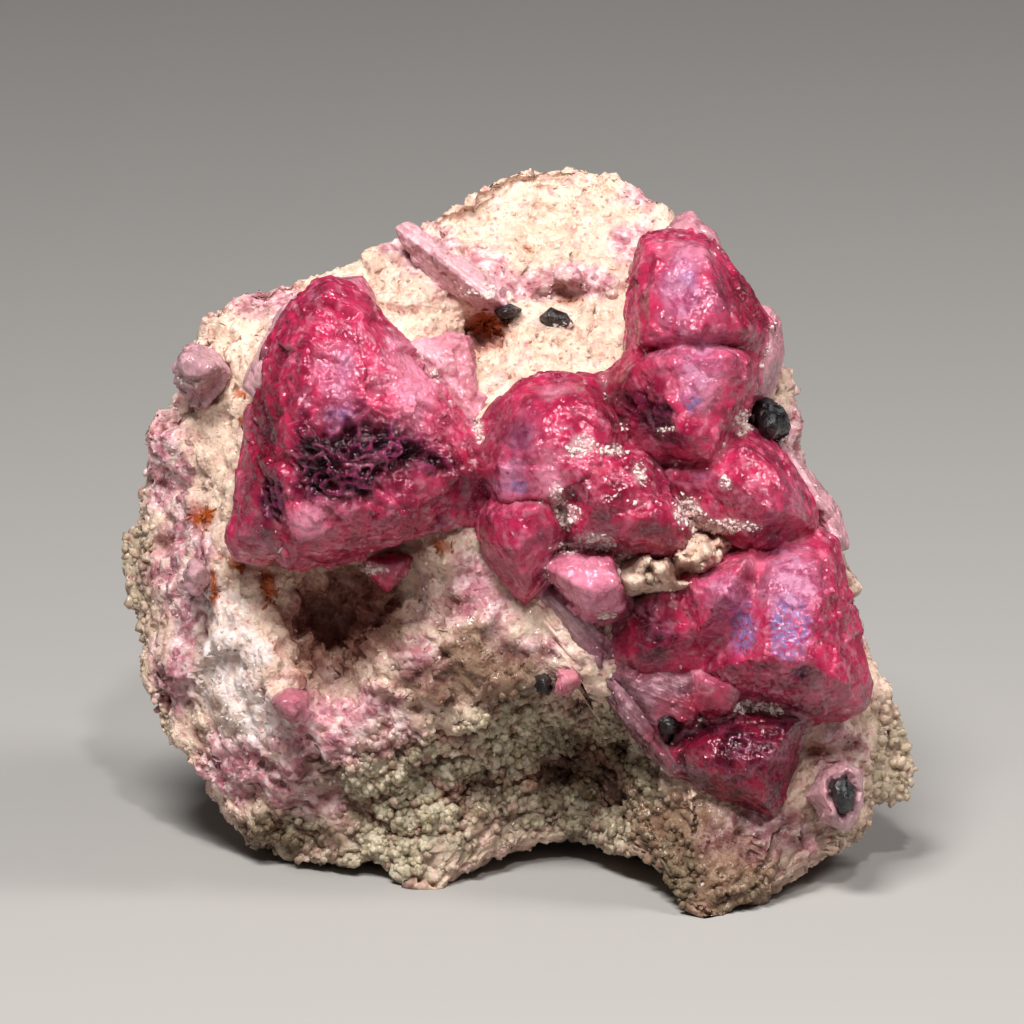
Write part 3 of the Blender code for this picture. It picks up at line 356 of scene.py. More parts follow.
SCHORL = {
    "schorl_stem": (16, 1, 0.036, 0.16, 0.0, 0.05, 0, 0),
    "schorl_centre": (16, 1, 0.048, 0.18, 0.0, 0.05, 0, 0),
    "schorl_right": (20, 1, 0.06, 0.26, 0.0, 0.05, 0, 0),
    "schorl_foot": (18, 1, 0.048, 0.2, 0.0, 0.05, 0, 0),
    "schorl_top": (18, 1, 0.036, 0.12, 0.0, 0.05, 0, 0),
    "schorl_hole": (16, 1, 0.036, 0.1, 0.0, 0.05, 0, 0),
}


def to_world(sheet):
    """Turns rows of (across, down, out) on the sheet into places in the world, in metres."""
    up = FLOOR_DOWN - sheet[:, 1]
    x = sheet[:, 0] - CENTRE_ACROSS
    y = up * math.sin(VIEW_TILT) - sheet[:, 2] * math.cos(VIEW_TILT) - MIDDLE_BACK
    z = up * math.cos(VIEW_TILT) + sheet[:, 2] * math.sin(VIEW_TILT) - FOOT_TRIM
    return np.column_stack((x, y, z)) * MM


def to_sheet(world):
    """The way back: places in the world, in metres, as rows of (across, down, out)."""
    x, y, z = (world / MM + (CENTRE_ACROSS, MIDDLE_BACK, FOOT_TRIM)).T
    up = y * math.sin(VIEW_TILT) + z * math.cos(VIEW_TILT)
    out = z * math.sin(VIEW_TILT) - y * math.cos(VIEW_TILT)
    return np.column_stack((x, FLOOR_DOWN - up, out))


def corner_value(corner, seed):
    """A number from -1 to 1 that is always the same for one whole-number corner."""
    mixed = (corner[..., 0] * 73856093) ^ (corner[..., 1] * 19349663)
    mixed = mixed ^ (corner[..., 2] * 83492791) ^ (seed * 26544357)
    mixed = ((mixed ^ (mixed >> 13)) * 1274126177) & 0xFFFFFFFF
    mixed = mixed ^ (mixed >> 16)
    return (mixed & 0xFFFF) / 32767.5 - 1.0


def lumpiness(points, size, seed):
    """Smooth noise from -1 to 1: values at the corners of cubes of that size, blended."""
    cell = np.floor(points / size).astype(np.int64)
    part = points / size - cell
    part = part * part * (3 - 2 * part)
    total = np.zeros(len(points))
    for step in np.ndindex(2, 2, 2):
        weight = np.prod(np.where(step, part, 1 - part), axis=1)
        total += weight * corner_value(cell + np.array(step), seed)
    return total


def broken_blocks(points, size, seed):
    """Splits space into blocks of about that size, each with its own sloping face.

    A point belongs to the nearest of the blocks' middles, which stand one to a cube. Gives
    the face's level there from about -1 to 1, the distance to the middle, and how much
    further the next middle is: 0 on the line between two blocks. Both are in blocks.
    """
    cell = np.floor(points / size).astype(np.int64)
    nearest = np.full(len(points), np.inf)
    second = np.full(len(points), np.inf)
    level = np.zeros(len(points))
    for step in np.ndindex(3, 3, 3):
        corner = cell + np.array(step) - 1
        shift = [corner_value(corner, seed + axis) * BLOCK_JITTER + 0.5 for axis in range(3)]
        arm = points / size - corner - np.column_stack(shift)
        slope = [corner_value(corner, seed + 5 + axis) for axis in range(3)]
        face = corner_value(corner, seed + 9) + (arm * np.column_stack(slope)).sum(axis=1)
        distance = (arm**2).sum(axis=1)
        closer = distance < nearest
        second = np.where(closer, nearest, np.minimum(second, distance))
        level = np.where(closer, face, level)
        nearest = np.where(closer, distance, nearest)
    return level * BLOCK_RANGE, np.sqrt(nearest), np.sqrt(second) - np.sqrt(nearest)


def smooth_step(value, low, high):
    """0 below low, 1 above high, and an S-shaped rise between."""
    share = np.clip((value - low) / (high - low), 0, 1)
    return share * share * (3 - 2 * share)


def look_strength(sheet, spots, seed, border=(0.28, 0.72)):
    """How strongly a look shows at each place, from 0 to 1.

    It is the strongest of soft oval spots, each falling off as a bell curve, with its border
    made ragged by two sizes of noise.
    """
    strength = np.zeros(len(sheet))
    for across, down, wide, high, most in spots:
        gap = ((sheet[:, 0] - across) / wide) ** 2 + ((sheet[:, 1] - down) / high) ** 2
        strength = np.maximum(strength, most * np.exp(-gap * 0.8))
    ragged = lumpiness(sheet, 2.6, seed) * 0.22 + lumpiness(sheet, 0.9, seed + 1) * 0.14
    return smooth_step(strength + ragged * (strength > 0.02), *border)


def relief(places):
    """A smooth surface through (across, down, out) places, as a function of the first two.

    It is a sum of rounded cones, one on each place, with the heights that pass through all.
    """
    spots = np.array([p[:2] for p in places], float)
    heights = np.array([p[2] for p in places], float)
    mean = heights.mean()

    def cones(at):
        gap = at[:, None, :] - spots[None, :, :]
        return np.sqrt((gap**2).sum(axis=2) + RELIEF_SOFTNESS**2)

    weights = np.linalg.solve(cones(spots), heights - mean)
    return lambda at: cones(at) @ weights + mean


def rim_at(angle):
    """The matrix's radius and depth on its rim, for angles round the view."""
    rim = np.array(RIM, float)
    arms = rim[:, :2] - MIDDLE
    rim_angle = np.arctan2(arms[:, 1], arms[:, 0])
    turn = 2 * math.pi
    radius = np.interp(angle, rim_angle, np.hypot(arms[:, 0], arms[:, 1]), period=turn)
    return radius, np.interp(angle, rim_angle, rim[:, 2], period=turn)


def ball_grid(squares, front_share=0.0):
    """Unit directions and squares of a gridded cube blown up to a ball, its seams merged.

    Each direction is (tan, tan, 1) of even angles on a cube's side, made unit length. With a
    front share the directions are first shifted that far to +out, where they then crowd.
    """
    step = np.arange(squares + 1)
    first, second = np.meshgrid(step, step, indexing="ij")
    sides = []
    for axis in range(3):
        for level in (0, squares):
            side = np.empty((squares + 1, squares + 1, 3), int)
            side[..., axis] = level
            side[..., (axis + 1) % 3] = first
            side[..., (axis + 2) % 3] = second
            sides.append(side if level else side.transpose(1, 0, 2))
    places = np.concatenate([side.reshape(-1, 3) for side in sides])
    merged, number = np.unique(places, axis=0, return_inverse=True)
    number = number.reshape(6, squares + 1, squares + 1)
    corners = (number[:, :-1, :-1], number[:, 1:, :-1], number[:, 1:, 1:], number[:, :-1, 1:])
    faces = np.stack(corners, axis=-1).reshape(-1, 4)
    cage = np.tan((merged * 2 / squares - 1) * math.pi / 4)
    ball = cage / np.linalg.norm(cage, axis=1)[:, None] + (0, 0, front_share)
    return ball / np.linalg.norm(ball, axis=1)[:, None], faces


def matrix_places(directions):
    """Places on the sheet for points of a ball, given as unit rows (right, down, out).

    The angle round the view picks the rim's radius and depth. The lean away from the viewer
    carries the point from the front relief over the rim to the back relief.
    """
    angle = np.arctan2(directions[:, 1], directions[:, 0])
    radius, rim_out = rim_at(angle)
    flat = 2 / SQUARENESS
    reach = np.clip(1 - directions[:, 2] ** 2, 0, 1) ** (flat / 2) * radius
    rise = np.abs(directions[:, 2]) ** flat
    seen = np.column_stack((np.cos(angle), np.sin(angle))) * reach[:, None] + MIDDLE
    depth = np.where(directions[:, 2] > 0, relief(FRONT)(seen), relief(BACK)(seen))
    out = rim_out + (depth - rim_out) * rise
    down = seen[:, 1].copy()
    for across_at, down_at, out_at, spread, drop in BACK_FEET:
        gap = np.column_stack((seen, out)) - (across_at, down_at, out_at)
        down += drop * np.exp(-((gap / spread) ** 2).sum(axis=1))
    return np.column_stack((seen[:, 0], down, out))


def outward(places, faces):
    """The faces, turned over if they enclose a negative volume."""
    a, b, c = (places[faces[:, corner]] for corner in range(3))
    volume = np.einsum("ij,ij->", a, np.cross(b, c))
    if faces.shape[1] == 4:
        d = places[faces[:, 3]]
        volume += np.einsum("ij,ij->", a, np.cross(c, d))
    return faces if volume > 0 else faces[:, ::-1]


def normals_of(places, faces):
    """Unit normals at the corners: the sum of the crossed diagonals of the squares there."""
    across = places[faces[:, 2]] - places[faces[:, 0]]
    normal = np.cross(across, places[faces[:, 3]] - places[faces[:, 1]])
    spread = np.repeat(normal, 4, axis=0)
    total = [np.bincount(faces.ravel(), spread[:, k], len(places)) for k in range(3)]
    total = np.column_stack(total)
    return total / np.maximum(np.linalg.norm(total, axis=1), 1e-12)[:, None]


def rounded(places, faces, passes):
    """Moves each corner to the mean of its neighbours along the squares' sides, in passes."""
    start = faces.ravel()
    end = np.roll(faces, -1, axis=1).ravel()
    count = np.bincount(start, minlength=len(places)).astype(float)
    for _ in range(passes):
        mean = [np.bincount(start, places[end, k], len(places)) / count for k in range(3)]
        places = places * 0.4 + np.column_stack(mean) * 0.6
    return places


def add_piece(name, places, faces, looks, material, smooth=True):
    """A mesh object from world places in metres, with its looks as number attributes."""
    mesh = bpy.data.meshes.new(name)
    mesh.vertices.add(len(places))
    mesh.vertices.foreach_set("co", places.astype(np.float32).ravel())
    mesh.loops.add(faces.size)
    mesh.loops.foreach_set("vertex_index", faces.astype(np.int32).ravel())
    mesh.polygons.add(len(faces))
    starts = np.arange(0, faces.size, faces.shape[1], dtype=np.int32)
    mesh.polygons.foreach_set("loop_start", starts)
    mesh.update(calc_edges=True)
    for look, values in looks.items():
        attribute = mesh.attributes.new(look, "FLOAT", "POINT")
        attribute.data.foreach_set("value", np.asarray(values, np.float32))
    mesh.polygons.foreach_set("use_smooth", np.full(len(faces), smooth))
    mesh.materials.append(material)
    piece = bpy.data.objects.new(name, mesh)
    bpy.context.scene.collection.objects.link(piece)
    return piece


def linear(code):
    """An sRGB hex colour as linear red, green, blue and alpha."""
    parts = [int(code[place : place + 2], 16) / 255 for place in (0, 2, 4)]
    bright = [c / 12.92 if c <= 0.04045 else ((c + 0.055) / 1.055) ** 2.4 for c in parts]
    return (*bright, 1.0)


# Every kind of shader node used here: Blender's name, its settings, the inputs that add()
# fills in turn, and the output that it gives
NODE_KINDS = {
    "place": ("ShaderNodeTexCoord", {}, (), "Object"),
    "look": ("ShaderNodeAttribute", {}, (), "Fac"),
    "noise": (
        "ShaderNodeTexNoise", {}, ("Vector", "Scale", "Detail", "Roughness", "Distortion"), 0
    ),
    "line noise": ("ShaderNodeTexNoise", {"noise_dimensions": "1D"}, ("W", "Scale", "Detail"), 0),
    "cells": ("ShaderNodeTexVoronoi", {}, ("Vector", "Scale"), "Color"),
    "levels": ("ShaderNodeMapRange", {}, range(5), 0),
    "times": ("ShaderNodeMath", {"operation": "MULTIPLY"}, range(2), 0),
    "plus": ("ShaderNodeMath", {"operation": "ADD"}, range(2), 0),
    "moved": ("ShaderNodeVectorMath", {"operation": "MULTIPLY_ADD"}, range(3), 0),
    "minus": ("ShaderNodeVectorMath", {"operation": "SUBTRACT"}, range(2), 0),
    "dot": ("ShaderNodeVectorMath", {"operation": "DOT_PRODUCT"}, range(2), "Value"),
    "channels": ("ShaderNodeSeparateColor", {}, (0,), 0),
    "mix": ("ShaderNodeMix", {"data_type": "RGBA"}, (0, 6, 7), 2),
    "multiply": ("ShaderNodeMix", {"data_type": "RGBA", "blend_type": "MULTIPLY"}, (0, 6, 7), 2),
    "bump": ("ShaderNodeBump", {}, ("Height", "Strength", "Distance"), 0),
    "shader": ("ShaderNodeBsdfPrincipled", {}, ("Base Color", "Roughness", "Normal"), 0),
    "surface": ("ShaderNodeOutputMaterial", {}, (0,), None),
}


def add(tree, kind, *values, **settings):
    """Adds one node with its settings, and gives the output that its kind names.

    The values fill its inputs in turn: another node's output is linked, and a number or a
    colour is set on the socket.
    """
    name, usual, sockets, output = NODE_KINDS[kind]
    node = tree.nodes.new(name)
    for setting, value in {**usual, **settings}.items():
        setattr(node, setting, value)
    for socket, value in zip(sockets, values):
        if isinstance(value, bpy.types.NodeSocket):
            tree.links.new(value, node.inputs[socket])
        else:
            node.inputs[socket].default_value = value
    return None if output is None else node.outputs[output]


def new_material(name):
    """An empty node material, its tree, and the places on the object that patterns read."""
    material = bpy.data.materials.new(name)
    material.use_nodes = True
    tree = material.node_tree
    tree.nodes.clear()
    return material, tree, add(tree, "place")


def facets(tree, place, size_mm, steepness, channel=0):
    """The height of small tilted faces, in metres, and a random share for each face.

    Space is split into cells, each with a random colour that is its slope too: the height
    is the slope's product with the way from the cell's middle.
    """
    colour = add(tree, "cells", place, 1 / (size_mm * MM))
    way = add(tree, "minus", place, colour.node.outputs["Position"])
    slope = add(tree, "minus", colour, (0.5, 0.5, 0.5))
    height = add(tree, "times", add(tree, "dot", way, slope), steepness)
    return height, add(tree, "channels", colour).node.outputs[channel]


def bumped(tree, *heights):
    """The normal that the sum of some heights in metres gives."""
    total = heights[0]
    for height in heights[1:]:
        total = add(tree, "plus", total, height)
    return add(tree, "bump", total, 1.0, 1.0)


def layered(tree, shade, layers):
    """A colour with others laid over it in turn, each given with its strength."""
    for strength, colour in layers:
        shade = add(tree, "mix", strength, shade, colour)
    return shade


def feldspar():
    """Potassium feldspar and albite, sugary: pale translucent grains that catch the light.

    The looks tint it: pink elbaite dust with deep rose specks, white albite, brown in the vug and
    the holes, grey-green glassy grains below, honey lumps at the edges, and rust. A painted shade
    darkens the recesses, and another greys the rock towards the foot and in its shaded middle.
    """
    colours = bpy.context.scene.specimen_rock
    material, tree, place = new_material("feldspar_sugary")
    looks = {name: add(tree, "look", attribute_name=name) for name in (*ROCK_LOOKS, "painted_recess_shade")}
    mottle = add(tree, "noise", place, 1 / (2.6 * MM), 2, 0.65)
    patch = add(tree, "noise", place, 1 / (1.1 * MM), 1, 0.65)
    bent = add(tree, "moved", patch.node.outputs["Color"], (0.6 * MM,) * 3, place)
    coarse, grain = facets(tree, bent, 0.85, 0.34)
    fine, small = facets(tree, bent, 0.4, 0.42, 1)
    # Elbaite dust: pale to pink, with rose patches and deep specks
    patched = add(tree, "levels", patch, 0.4, 0.6)
    rosy = layered(tree, linear("E3C3C4"), (
        (patched, colours.pink),
        (add(tree, "levels", mottle, 0.5, 0.64, 0, 0.75), linear("A25C69")),
        (add(tree, "levels", grain, 0.78, 0.84, 0, 0.6), linear("8E4156")),
    ))
    # Glassy quartz-like grains: grey-green, some paler
    mossy = layered(tree, linear("BDB29A"), (
        (add(tree, "levels", patch, 0.38, 0.62), linear("8F8566")),
        (add(tree, "levels", grain, 0.7, 0.95, 0, 0.6), linear("C9BBA6")),
    ))
    # Brown, in the vug, in holes and in recesses
    vug_brown = add(tree, "mix", patched, linear("BC8672"), linear("8A4A40"))
    honey = add(tree, "levels", mottle, 0.3, 0.6, 0.55, 1.0)
    pink = add(tree, "levels", mottle, 0.28, 0.44, 0.35, 1.0)
    snow = add(tree, "levels", patch, 0.34, 0.62, 1.0, 0.5)
    # Painted shade: a darker brown where the relief sinks into recesses and holes
    deep = add(tree, "levels", patch, 0.3, 0.55, 0.55, 1.0)
    deep = add(tree, "times", looks["painted_recess_shade"], deep)
    dots = add(tree, "levels", small, 0.88, 0.9)
    dots = add(tree, "times", dots, add(tree, "levels", patch, 0.5, 0.6))
    shade = layered(tree, linear("E0C7B3"), (
        (add(tree, "levels", mottle, 0.36, 0.66), colours.cream),
        (add(tree, "levels", patch, 0.56, 0.68, 0, 0.5), linear("DFB5A6")),
        (add(tree, "levels", grain, 0.86, 0.9, 0, 0.4), linear("CE9595")),
        (add(tree, "times", looks["honey"], honey), linear("AE9C84")),
        (add(tree, "times", looks["pink"], pink), rosy),
        (add(tree, "times", looks["white"], snow), linear("E2D2CF")),
        (add(tree, "times", dots, 0.5), linear("9C4656")),
        (add(tree, "times", looks["green"], 0.92), mossy),
        (add(tree, "times", looks["brown"], 0.85), vug_brown),
        # painted shade in the recesses
        (add(tree, "times", deep, 0.7), linear("96605A")),
        (looks["rust"], linear("A34A10")),
    ))
    # Painted shade: greyer and darker towards the foot and in the shaded middle
    shade = add(tree, "multiply", looks["painted_shade"], shade, linear("9C8C7E"))
    shade = add(tree, "multiply", 1.0, shade, add(tree, "levels", small, 0, 1, 0.9, 1.05))
    ripple = add(tree, "noise", place, 1 / (0.45 * MM), 1, 0.6)
    ripple = add(tree, "times", ripple, 0.16 * MM)
    rough = add(tree, "levels", grain, 0, 0.5, 0.2, 0.6)
    normal = bumped(tree, coarse, fine, ripple)
    shader = add(tree, "shader", shade, rough, normal, subsurface_method="BURLEY")
    sockets = shader.node.inputs
    sockets["IOR"].default_value = 1.53
    sockets["Subsurface Weight"].default_value = 0.3
    sockets["Subsurface Radius"].default_value = (1.0, 0.75, 0.6)
    sockets["Subsurface Scale"].default_value = 0.9 * MM
    add(tree, "surface", shader)
    return material


def elbaite(name, body, dark, pale):
    """Elbaite, etched: a glassy crystal that is cloudy inside.

    Light goes some millimetres in and comes back coloured, by scattering and by plain
    transmission. The looks give its dark cores, with painted light on their ridge tops and
    painted shade in their troughs, and pale, lilac or blue skins, lighter broken edges, and white
    dust.
    Some pale spots are painted highlights, the lilac is partly painted sheen, and darkened spots
    on the bottom crystal are painted shade.
    """
    material, tree, place = new_material(name)
    looks = {look: add(tree, "look", attribute_name=look) for look in (
        *CRYSTAL_LOOKS, "pallor", "ridge", "edge", "dust", "rib", "ribbed"
    )}
    mottle = add(tree, "noise", place, 1 / (2.7 * MM), 2, 0.65)
    patch = add(tree, "noise", place, 1 / (1.3 * MM), 1, 0.65)
    bent = add(tree, "moved", patch.node.outputs["Color"], (1.3 * MM,) * 3, place)
    coarse, plate = facets(tree, bent, 1.6, 0.42)
    fine, chip = facets(tree, bent, 0.5, 0.42, 1)
    fine = add(tree, "times", fine, add(tree, "levels", patch, 0.42, 0.58, 0.1, 1.0))
    etched = add(tree, "noise", place, 1 / (0.38 * MM), 1, 0.7)
    ruby = add(tree, "levels", mottle, 0.4, 0.6)
    ruby = add(tree, "mix", ruby, linear("84132F"), linear("4E0A1A"))
    frost_and_sheen_violet = add(tree, "levels", patch, 0.42, 0.6)
    frost_and_sheen_violet = add(tree, "mix", frost_and_sheen_violet, linear("B87C9A"), linear("96466C"))
    # The core's own dark colour, with painted light on its ridge tops and painted shade in its
    # troughs
    core_with_painted_ridge_light = add(tree, "mix", looks["ridge"], linear("0A0206"), linear("6A2244"))
    soft = add(tree, "levels", patch, 0.3, 0.6, 1.0, 0.7)
    veil = add(tree, "levels", plate, 0.1, 0.4, 0.45, 0.85)
    flecks = add(tree, "noise", place, 1 / (0.5 * MM), 2, 0.7)
    flecks = add(tree, "levels", flecks, 0.46, 0.58, 0.85, 0.1)
    # Cracks: thin lines where the patches cross one value, faint and pale, or dark red
    # where the look says
    crack = add(tree, "levels", patch, 0.49, 0.502, 1, 0)
    crack = add(tree, "times", add(tree, "levels", patch, 0.478, 0.49), crack)
    faint = add(tree, "levels", mottle, 0.46, 0.6, 0.0, 0.25)
    strong = add(tree, "times", looks["cracked"], 0.9)
    specks = add(tree, "levels", etched, 0.7, 0.78)
    specks = add(tree, "times", specks, add(tree, "levels", mottle, 0.42, 0.56, 0, 0.4))
    shade = layered(tree, body, (
        (add(tree, "levels", mottle, 0.36, 0.62), dark),
        (add(tree, "levels", patch, 0.52, 0.7, 0, 0.35), pale),
        # deep ruby, and on the bottom crystal a painted shade
        (looks["deep"], ruby),
        # pale: paler skin, and in two spots painted highlights
        (add(tree, "times", looks["pale"], soft), pale),
        (looks["pallor"], linear("DDB2B6")),
        # lilac: frosted skin, and painted sheen of the key light's reflection
        (add(tree, "times", looks["lilac"], veil), frost_and_sheen_violet),
        (add(tree, "times", looks["blue"], flecks), linear("766A9C")),
        (add(tree, "times", crack, faint), pale),
        (add(tree, "times", crack, strong), linear("6E1230")),
        # the dark cores, with painted shade on the bottom crystal
        (add(tree, "times", looks["core"], 0.98), core_with_painted_ridge_light),
        (add(tree, "times", looks["edge"], 0.3), pale),
        (add(tree, "times", looks["dust"], 0.7), linear("E2BDC0")),
        (specks, linear("E8B4C0")),
    ))
    # Striations along the crystal, in its colour and its relief
    rib = add(tree, "line noise", looks["rib"], 1 / (0.55 * MM), 3)
    stripe = add(tree, "levels", rib, 0.35, 0.65, 0.72, 1.12)
    shade = add(tree, "multiply", looks["ribbed"], shade, stripe)
    shade = add(tree, "multiply", 1.0, shade, add(tree, "levels", chip, 0, 1, 0.88, 1.06))
    flute = add(tree, "times", add(tree, "times", rib, looks["ribbed"]), 0.3 * MM)
    etch = add(tree, "times", etched, 0.09 * MM)
    frost = add(tree, "times", add(tree, "plus", looks["lilac"], looks["dust"]), 0.16)
    rough = add(tree, "plus", add(tree, "levels", plate, 0.2, 0.8, 0.07, 0.24), frost)
    normal = bumped(tree, coarse, fine, etch, flute)
    shader = add(tree, "shader", shade, rough, normal, subsurface_method="BURLEY")
    sockets = shader.node.inputs
    gloss = add(tree, "levels", looks["core"], 0.0, 1.0, 0.3, 0.1)
    tree.links.new(gloss, sockets["Specular IOR Level"])
    sockets["IOR"].default_value = 1.63
    sockets["Specular Tint"].default_value = (1.0, 0.66, 0.75, 1.0)
    sockets["Transmission Weight"].default_value = 0.06
    sockets["Subsurface Weight"].default_value = 0.3
    sockets["Subsurface Radius"].default_value = (1.6, 0.5, 0.7)
    sockets["Subsurface Scale"].default_value = 0.8 * MM
    add(tree, "surface", shader)
    return material


def black_schorl():
    """Schorl, the black tourmaline: opaque and glassy, with fine broken steps."""
    material, tree, place = new_material("schorl_broken")
    steps = add(tree, "noise", place, 1 / (0.5 * MM), 4, 0.7, 1.0)
    coarse, plate = facets(tree, place, 0.7, 1.2)
    shade = add(tree, "levels", steps, 0.5, 0.8)
    shade = add(tree, "mix", shade, linear("08080A"), linear("2C2C31"))
    rough = add(tree, "levels", plate, 0.2, 0.8, 0.12, 0.4)
    normal = bumped(tree, coarse, add(tree, "times", steps, 0.2 * MM))
    shader = add(tree, "shader", shade, rough, normal)
    shader.node.inputs["IOR"].default_value = 1.65
    add(tree, "surface", shader)
    return material


def rock_roughness(points):
    """The blocks and lumps that the solids have too, in millimetres along the ball's arms."""
    rough = np.zeros(len(points))
    for size, height, seed in BLOCKS:
        rough += broken_blocks(points, size, seed)[0] * height
    for size, height, seed in LUMPS:
        rough += lumpiness(points, size, seed) * height
    return rough


def fine_rock_relief(sheet, looks):
    """Millimetres to move a point of the matrix out of its surface.

    Small broken blocks, plus rounded grains and clusters as a constant less the squared
    distance to a grain's middle, less round pits and the hollows of a smooth noise.
    """
    rise = np.zeros(len(sheet))
    for size, height, seed in FINE_BLOCKS:
        rise += broken_blocks(sheet, size, seed)[0] * height
    for size, height, seed in GRAIN_BUMPS:
        rise += (0.35 - broken_blocks(sheet, size, seed)[1] ** 2) * height * 1.6
    size, height, seed = CLUSTERS
    _, middle, line = broken_blocks(sheet, size, seed)
    share = 0.3 + 0.7 * looks["green"]
    rise += (0.3 - middle**2 - 0.5 * np.exp(-((line / 0.12) ** 2))) * height * share
    for stretch, size, seed, height in BROWN_BLOCKS:
        rise += broken_blocks(sheet * stretch, size, seed)[0] * looks["brown"] * height
    level, middle, _ = broken_blocks(sheet, PIT_SIZE, 53)
    pitted = np.clip(0.35 + 0.65 * looks["pink"] + 0.7 * looks["green"] - looks["white"], 0, 1)
    rise -= np.clip(1 - (middle / 0.34) ** 2, 0, 1) * (level > 0.1) * pitted * PIT_DEPTH
    rise -= smooth_step(lumpiness(sheet, 3.2, 59), 0.35, 0.8) * pitted * 0.9
    return rise


def spot_height(sheet, spots):
    """The sum of flat-topped bumps at each place, in millimetres, for the named spots."""
    height = np.zeros(len(sheet))
    for across, down, wide, high, most in spots:
        gap = ((sheet[:, 0] - across) / wide) ** 2 + ((sheet[:, 1] - down) / high) ** 2
        height += most * np.exp(-(gap**1.5))
    return height


def rock_surface(squares, front_share):
    """The matrix as a function of a ball's directions: places on the sheet, squares, looks.

    The smooth form follows the rim and the reliefs. The blocks and lumps move it along the
    ball's arms, as in the solid, and the fine relief along its own normals.
    """
    ball, faces = ball_grid(squares, front_share)
    smooth = np.concatenate([matrix_places(part) for part in np.array_split(ball, 40)])
    calm = EDGE_CALM + (1 - EDGE_CALM) * np.abs(ball[:, 2])
    sheet = smooth + ball * (rock_roughness(smooth) * calm)[:, None]
    faces = outward(sheet, faces)
    normal = normals_of(sheet, faces)
    seen = smooth_step(ball[:, 2], -0.35, 0.05)
    looks = {
        name: look_strength(sheet, spots, 61 + turn * 3) * seen
        for turn, (name, spots) in enumerate(ROCK_LOOKS.items())
    }
    hidden = 1 - seen
    for name, size, seed, low, high, most in HIDDEN_PATCHES:
        patch = hidden * smooth_step(lumpiness(sheet, size, seed), low, high) * most
        looks[name] = np.maximum(looks[name], patch)
    rise = fine_rock_relief(sheet, looks) * (0.55 + 0.45 * seen)
    holes = spot_height(sheet, HOLES) * seen
    sheet = sheet + normal * rise[:, None]
    uneven = 0.8 + 0.3 * lumpiness(sheet, 1.5, 71) + 0.2 * lumpiness(sheet, 0.8, 73)
    raised = spot_height(sheet, RAISED) * seen
    sheet[:, 2] += raised * uneven - holes
    # Painted shade: how far a place sinks into a recess or hole, for the colour to darken; less
    # where the rock is raised
    looks["painted_recess_shade"] = np.clip(smooth_step(-rise, 0.25, 1.1) + smooth_step(holes, 0.8, 2.5), 0, 1)
    looks["painted_recess_shade"] *= 1 - smooth_step(raised, 1.0, 3.0)
    return sheet, faces, looks


def round_cage():
    """The corners and triangles of a twenty-sided ball of radius a half."""
    golden = (1 + math.sqrt(5)) / 2
    corners = [(0, a, b * golden) for a in (-1, 1) for b in (-1, 1)]
    corners += [(a, b * golden, 0) for a in (-1, 1) for b in (-1, 1)]
    corners += [(b * golden, 0, a) for a in (-1, 1) for b in (-1, 1)]
    corners = np.array(corners) / (2 * math.hypot(1, golden))
    triples = np.array([t for t in np.ndindex(12, 12, 12) if t[0] < t[1] < t[2]])
    spans = [np.linalg.norm(corners[triples[:, a]] - corners[triples[:, b]], axis=1)
             for a, b in ((0, 1), (1, 2), (0, 2))]
    faces = triples[np.max(spans, axis=0) < 0.6]
    a, b, c = (corners[faces[:, k]] for k in range(3))
    flipped = (np.cross(b - a, c - a) * a).sum(axis=1) < 0
    faces[flipped] = faces[flipped][:, ::-1]
    return corners, faces


def sugar_grains(surface, count, sizes, seed, evenly, favoured, stretch=(1, 1, 1)):
    """Small blunt grains on a surface: jittered balls of twenty sides, sunk at random.

    A square is picked by its area and looks, and a spot in it by two even random shares. A
    grain's corners are those of the ball, shifted a little, stretched along three crossed
    random axes and set on the spot. Their sizes are even in the logarithm.
    """
    places, faces, looks = surface
    rng = np.random.default_rng(seed)
    corners = places[faces]
    normal = np.cross(corners[:, 2] - corners[:, 0], corners[:, 3] - corners[:, 1])
    area = np.linalg.norm(normal, axis=1)
    likely = evenly + sum(looks[name][faces[:, 0]] * more for name, more in favoured.items())
    likely = area * np.clip(likely, 0, None)
    likely *= to_world(corners.mean(axis=1))[:, 2] > sizes[1] * MM
    pick = rng.choice(len(faces), count, p=likely / likely.sum())
    u, v = rng.random((2, count, 1))
    a, b, c, d = (corners[pick, k] for k in range(4))
    spot = (a * (1 - u) + b * u) * (1 - v) + (d * (1 - u) + c * u) * v
    first = rng.normal(size=(count, 3))
    first /= np.linalg.norm(first, axis=1)[:, None]
    second = np.cross(first, rng.normal(size=(count, 3)))
    second /= np.linalg.norm(second, axis=1)[:, None]
    third = np.cross(first, second)
    size = np.exp(rng.uniform(np.log(sizes[0]), np.log(sizes[1]), count))[:, None, None]
    cage, sides = round_cage()
    shape = cage + rng.uniform(-0.13, 0.13, (count, len(cage), 3))
    shape *= size * rng.uniform(0.7, 1.2, (count, 1, 3)) * stretch
    grain = np.einsum("nck,nkj->ncj", shape, np.stack((first, second, third), axis=1))
    lift = normal[pick] / area[pick, None] * (size[:, 0] * rng.uniform(-0.2, 0.12, (count, 1)))
    grain += (spot + lift)[:, None, :]
    triangles = (np.arange(count)[:, None, None] * len(cage) + sides).reshape(-1, 3)
    grain_looks = {
        name: np.repeat(values[faces[pick, 0]], len(cage)) for name, values in looks.items()
    }
    return grain.reshape(-1, 3), triangles, grain_looks


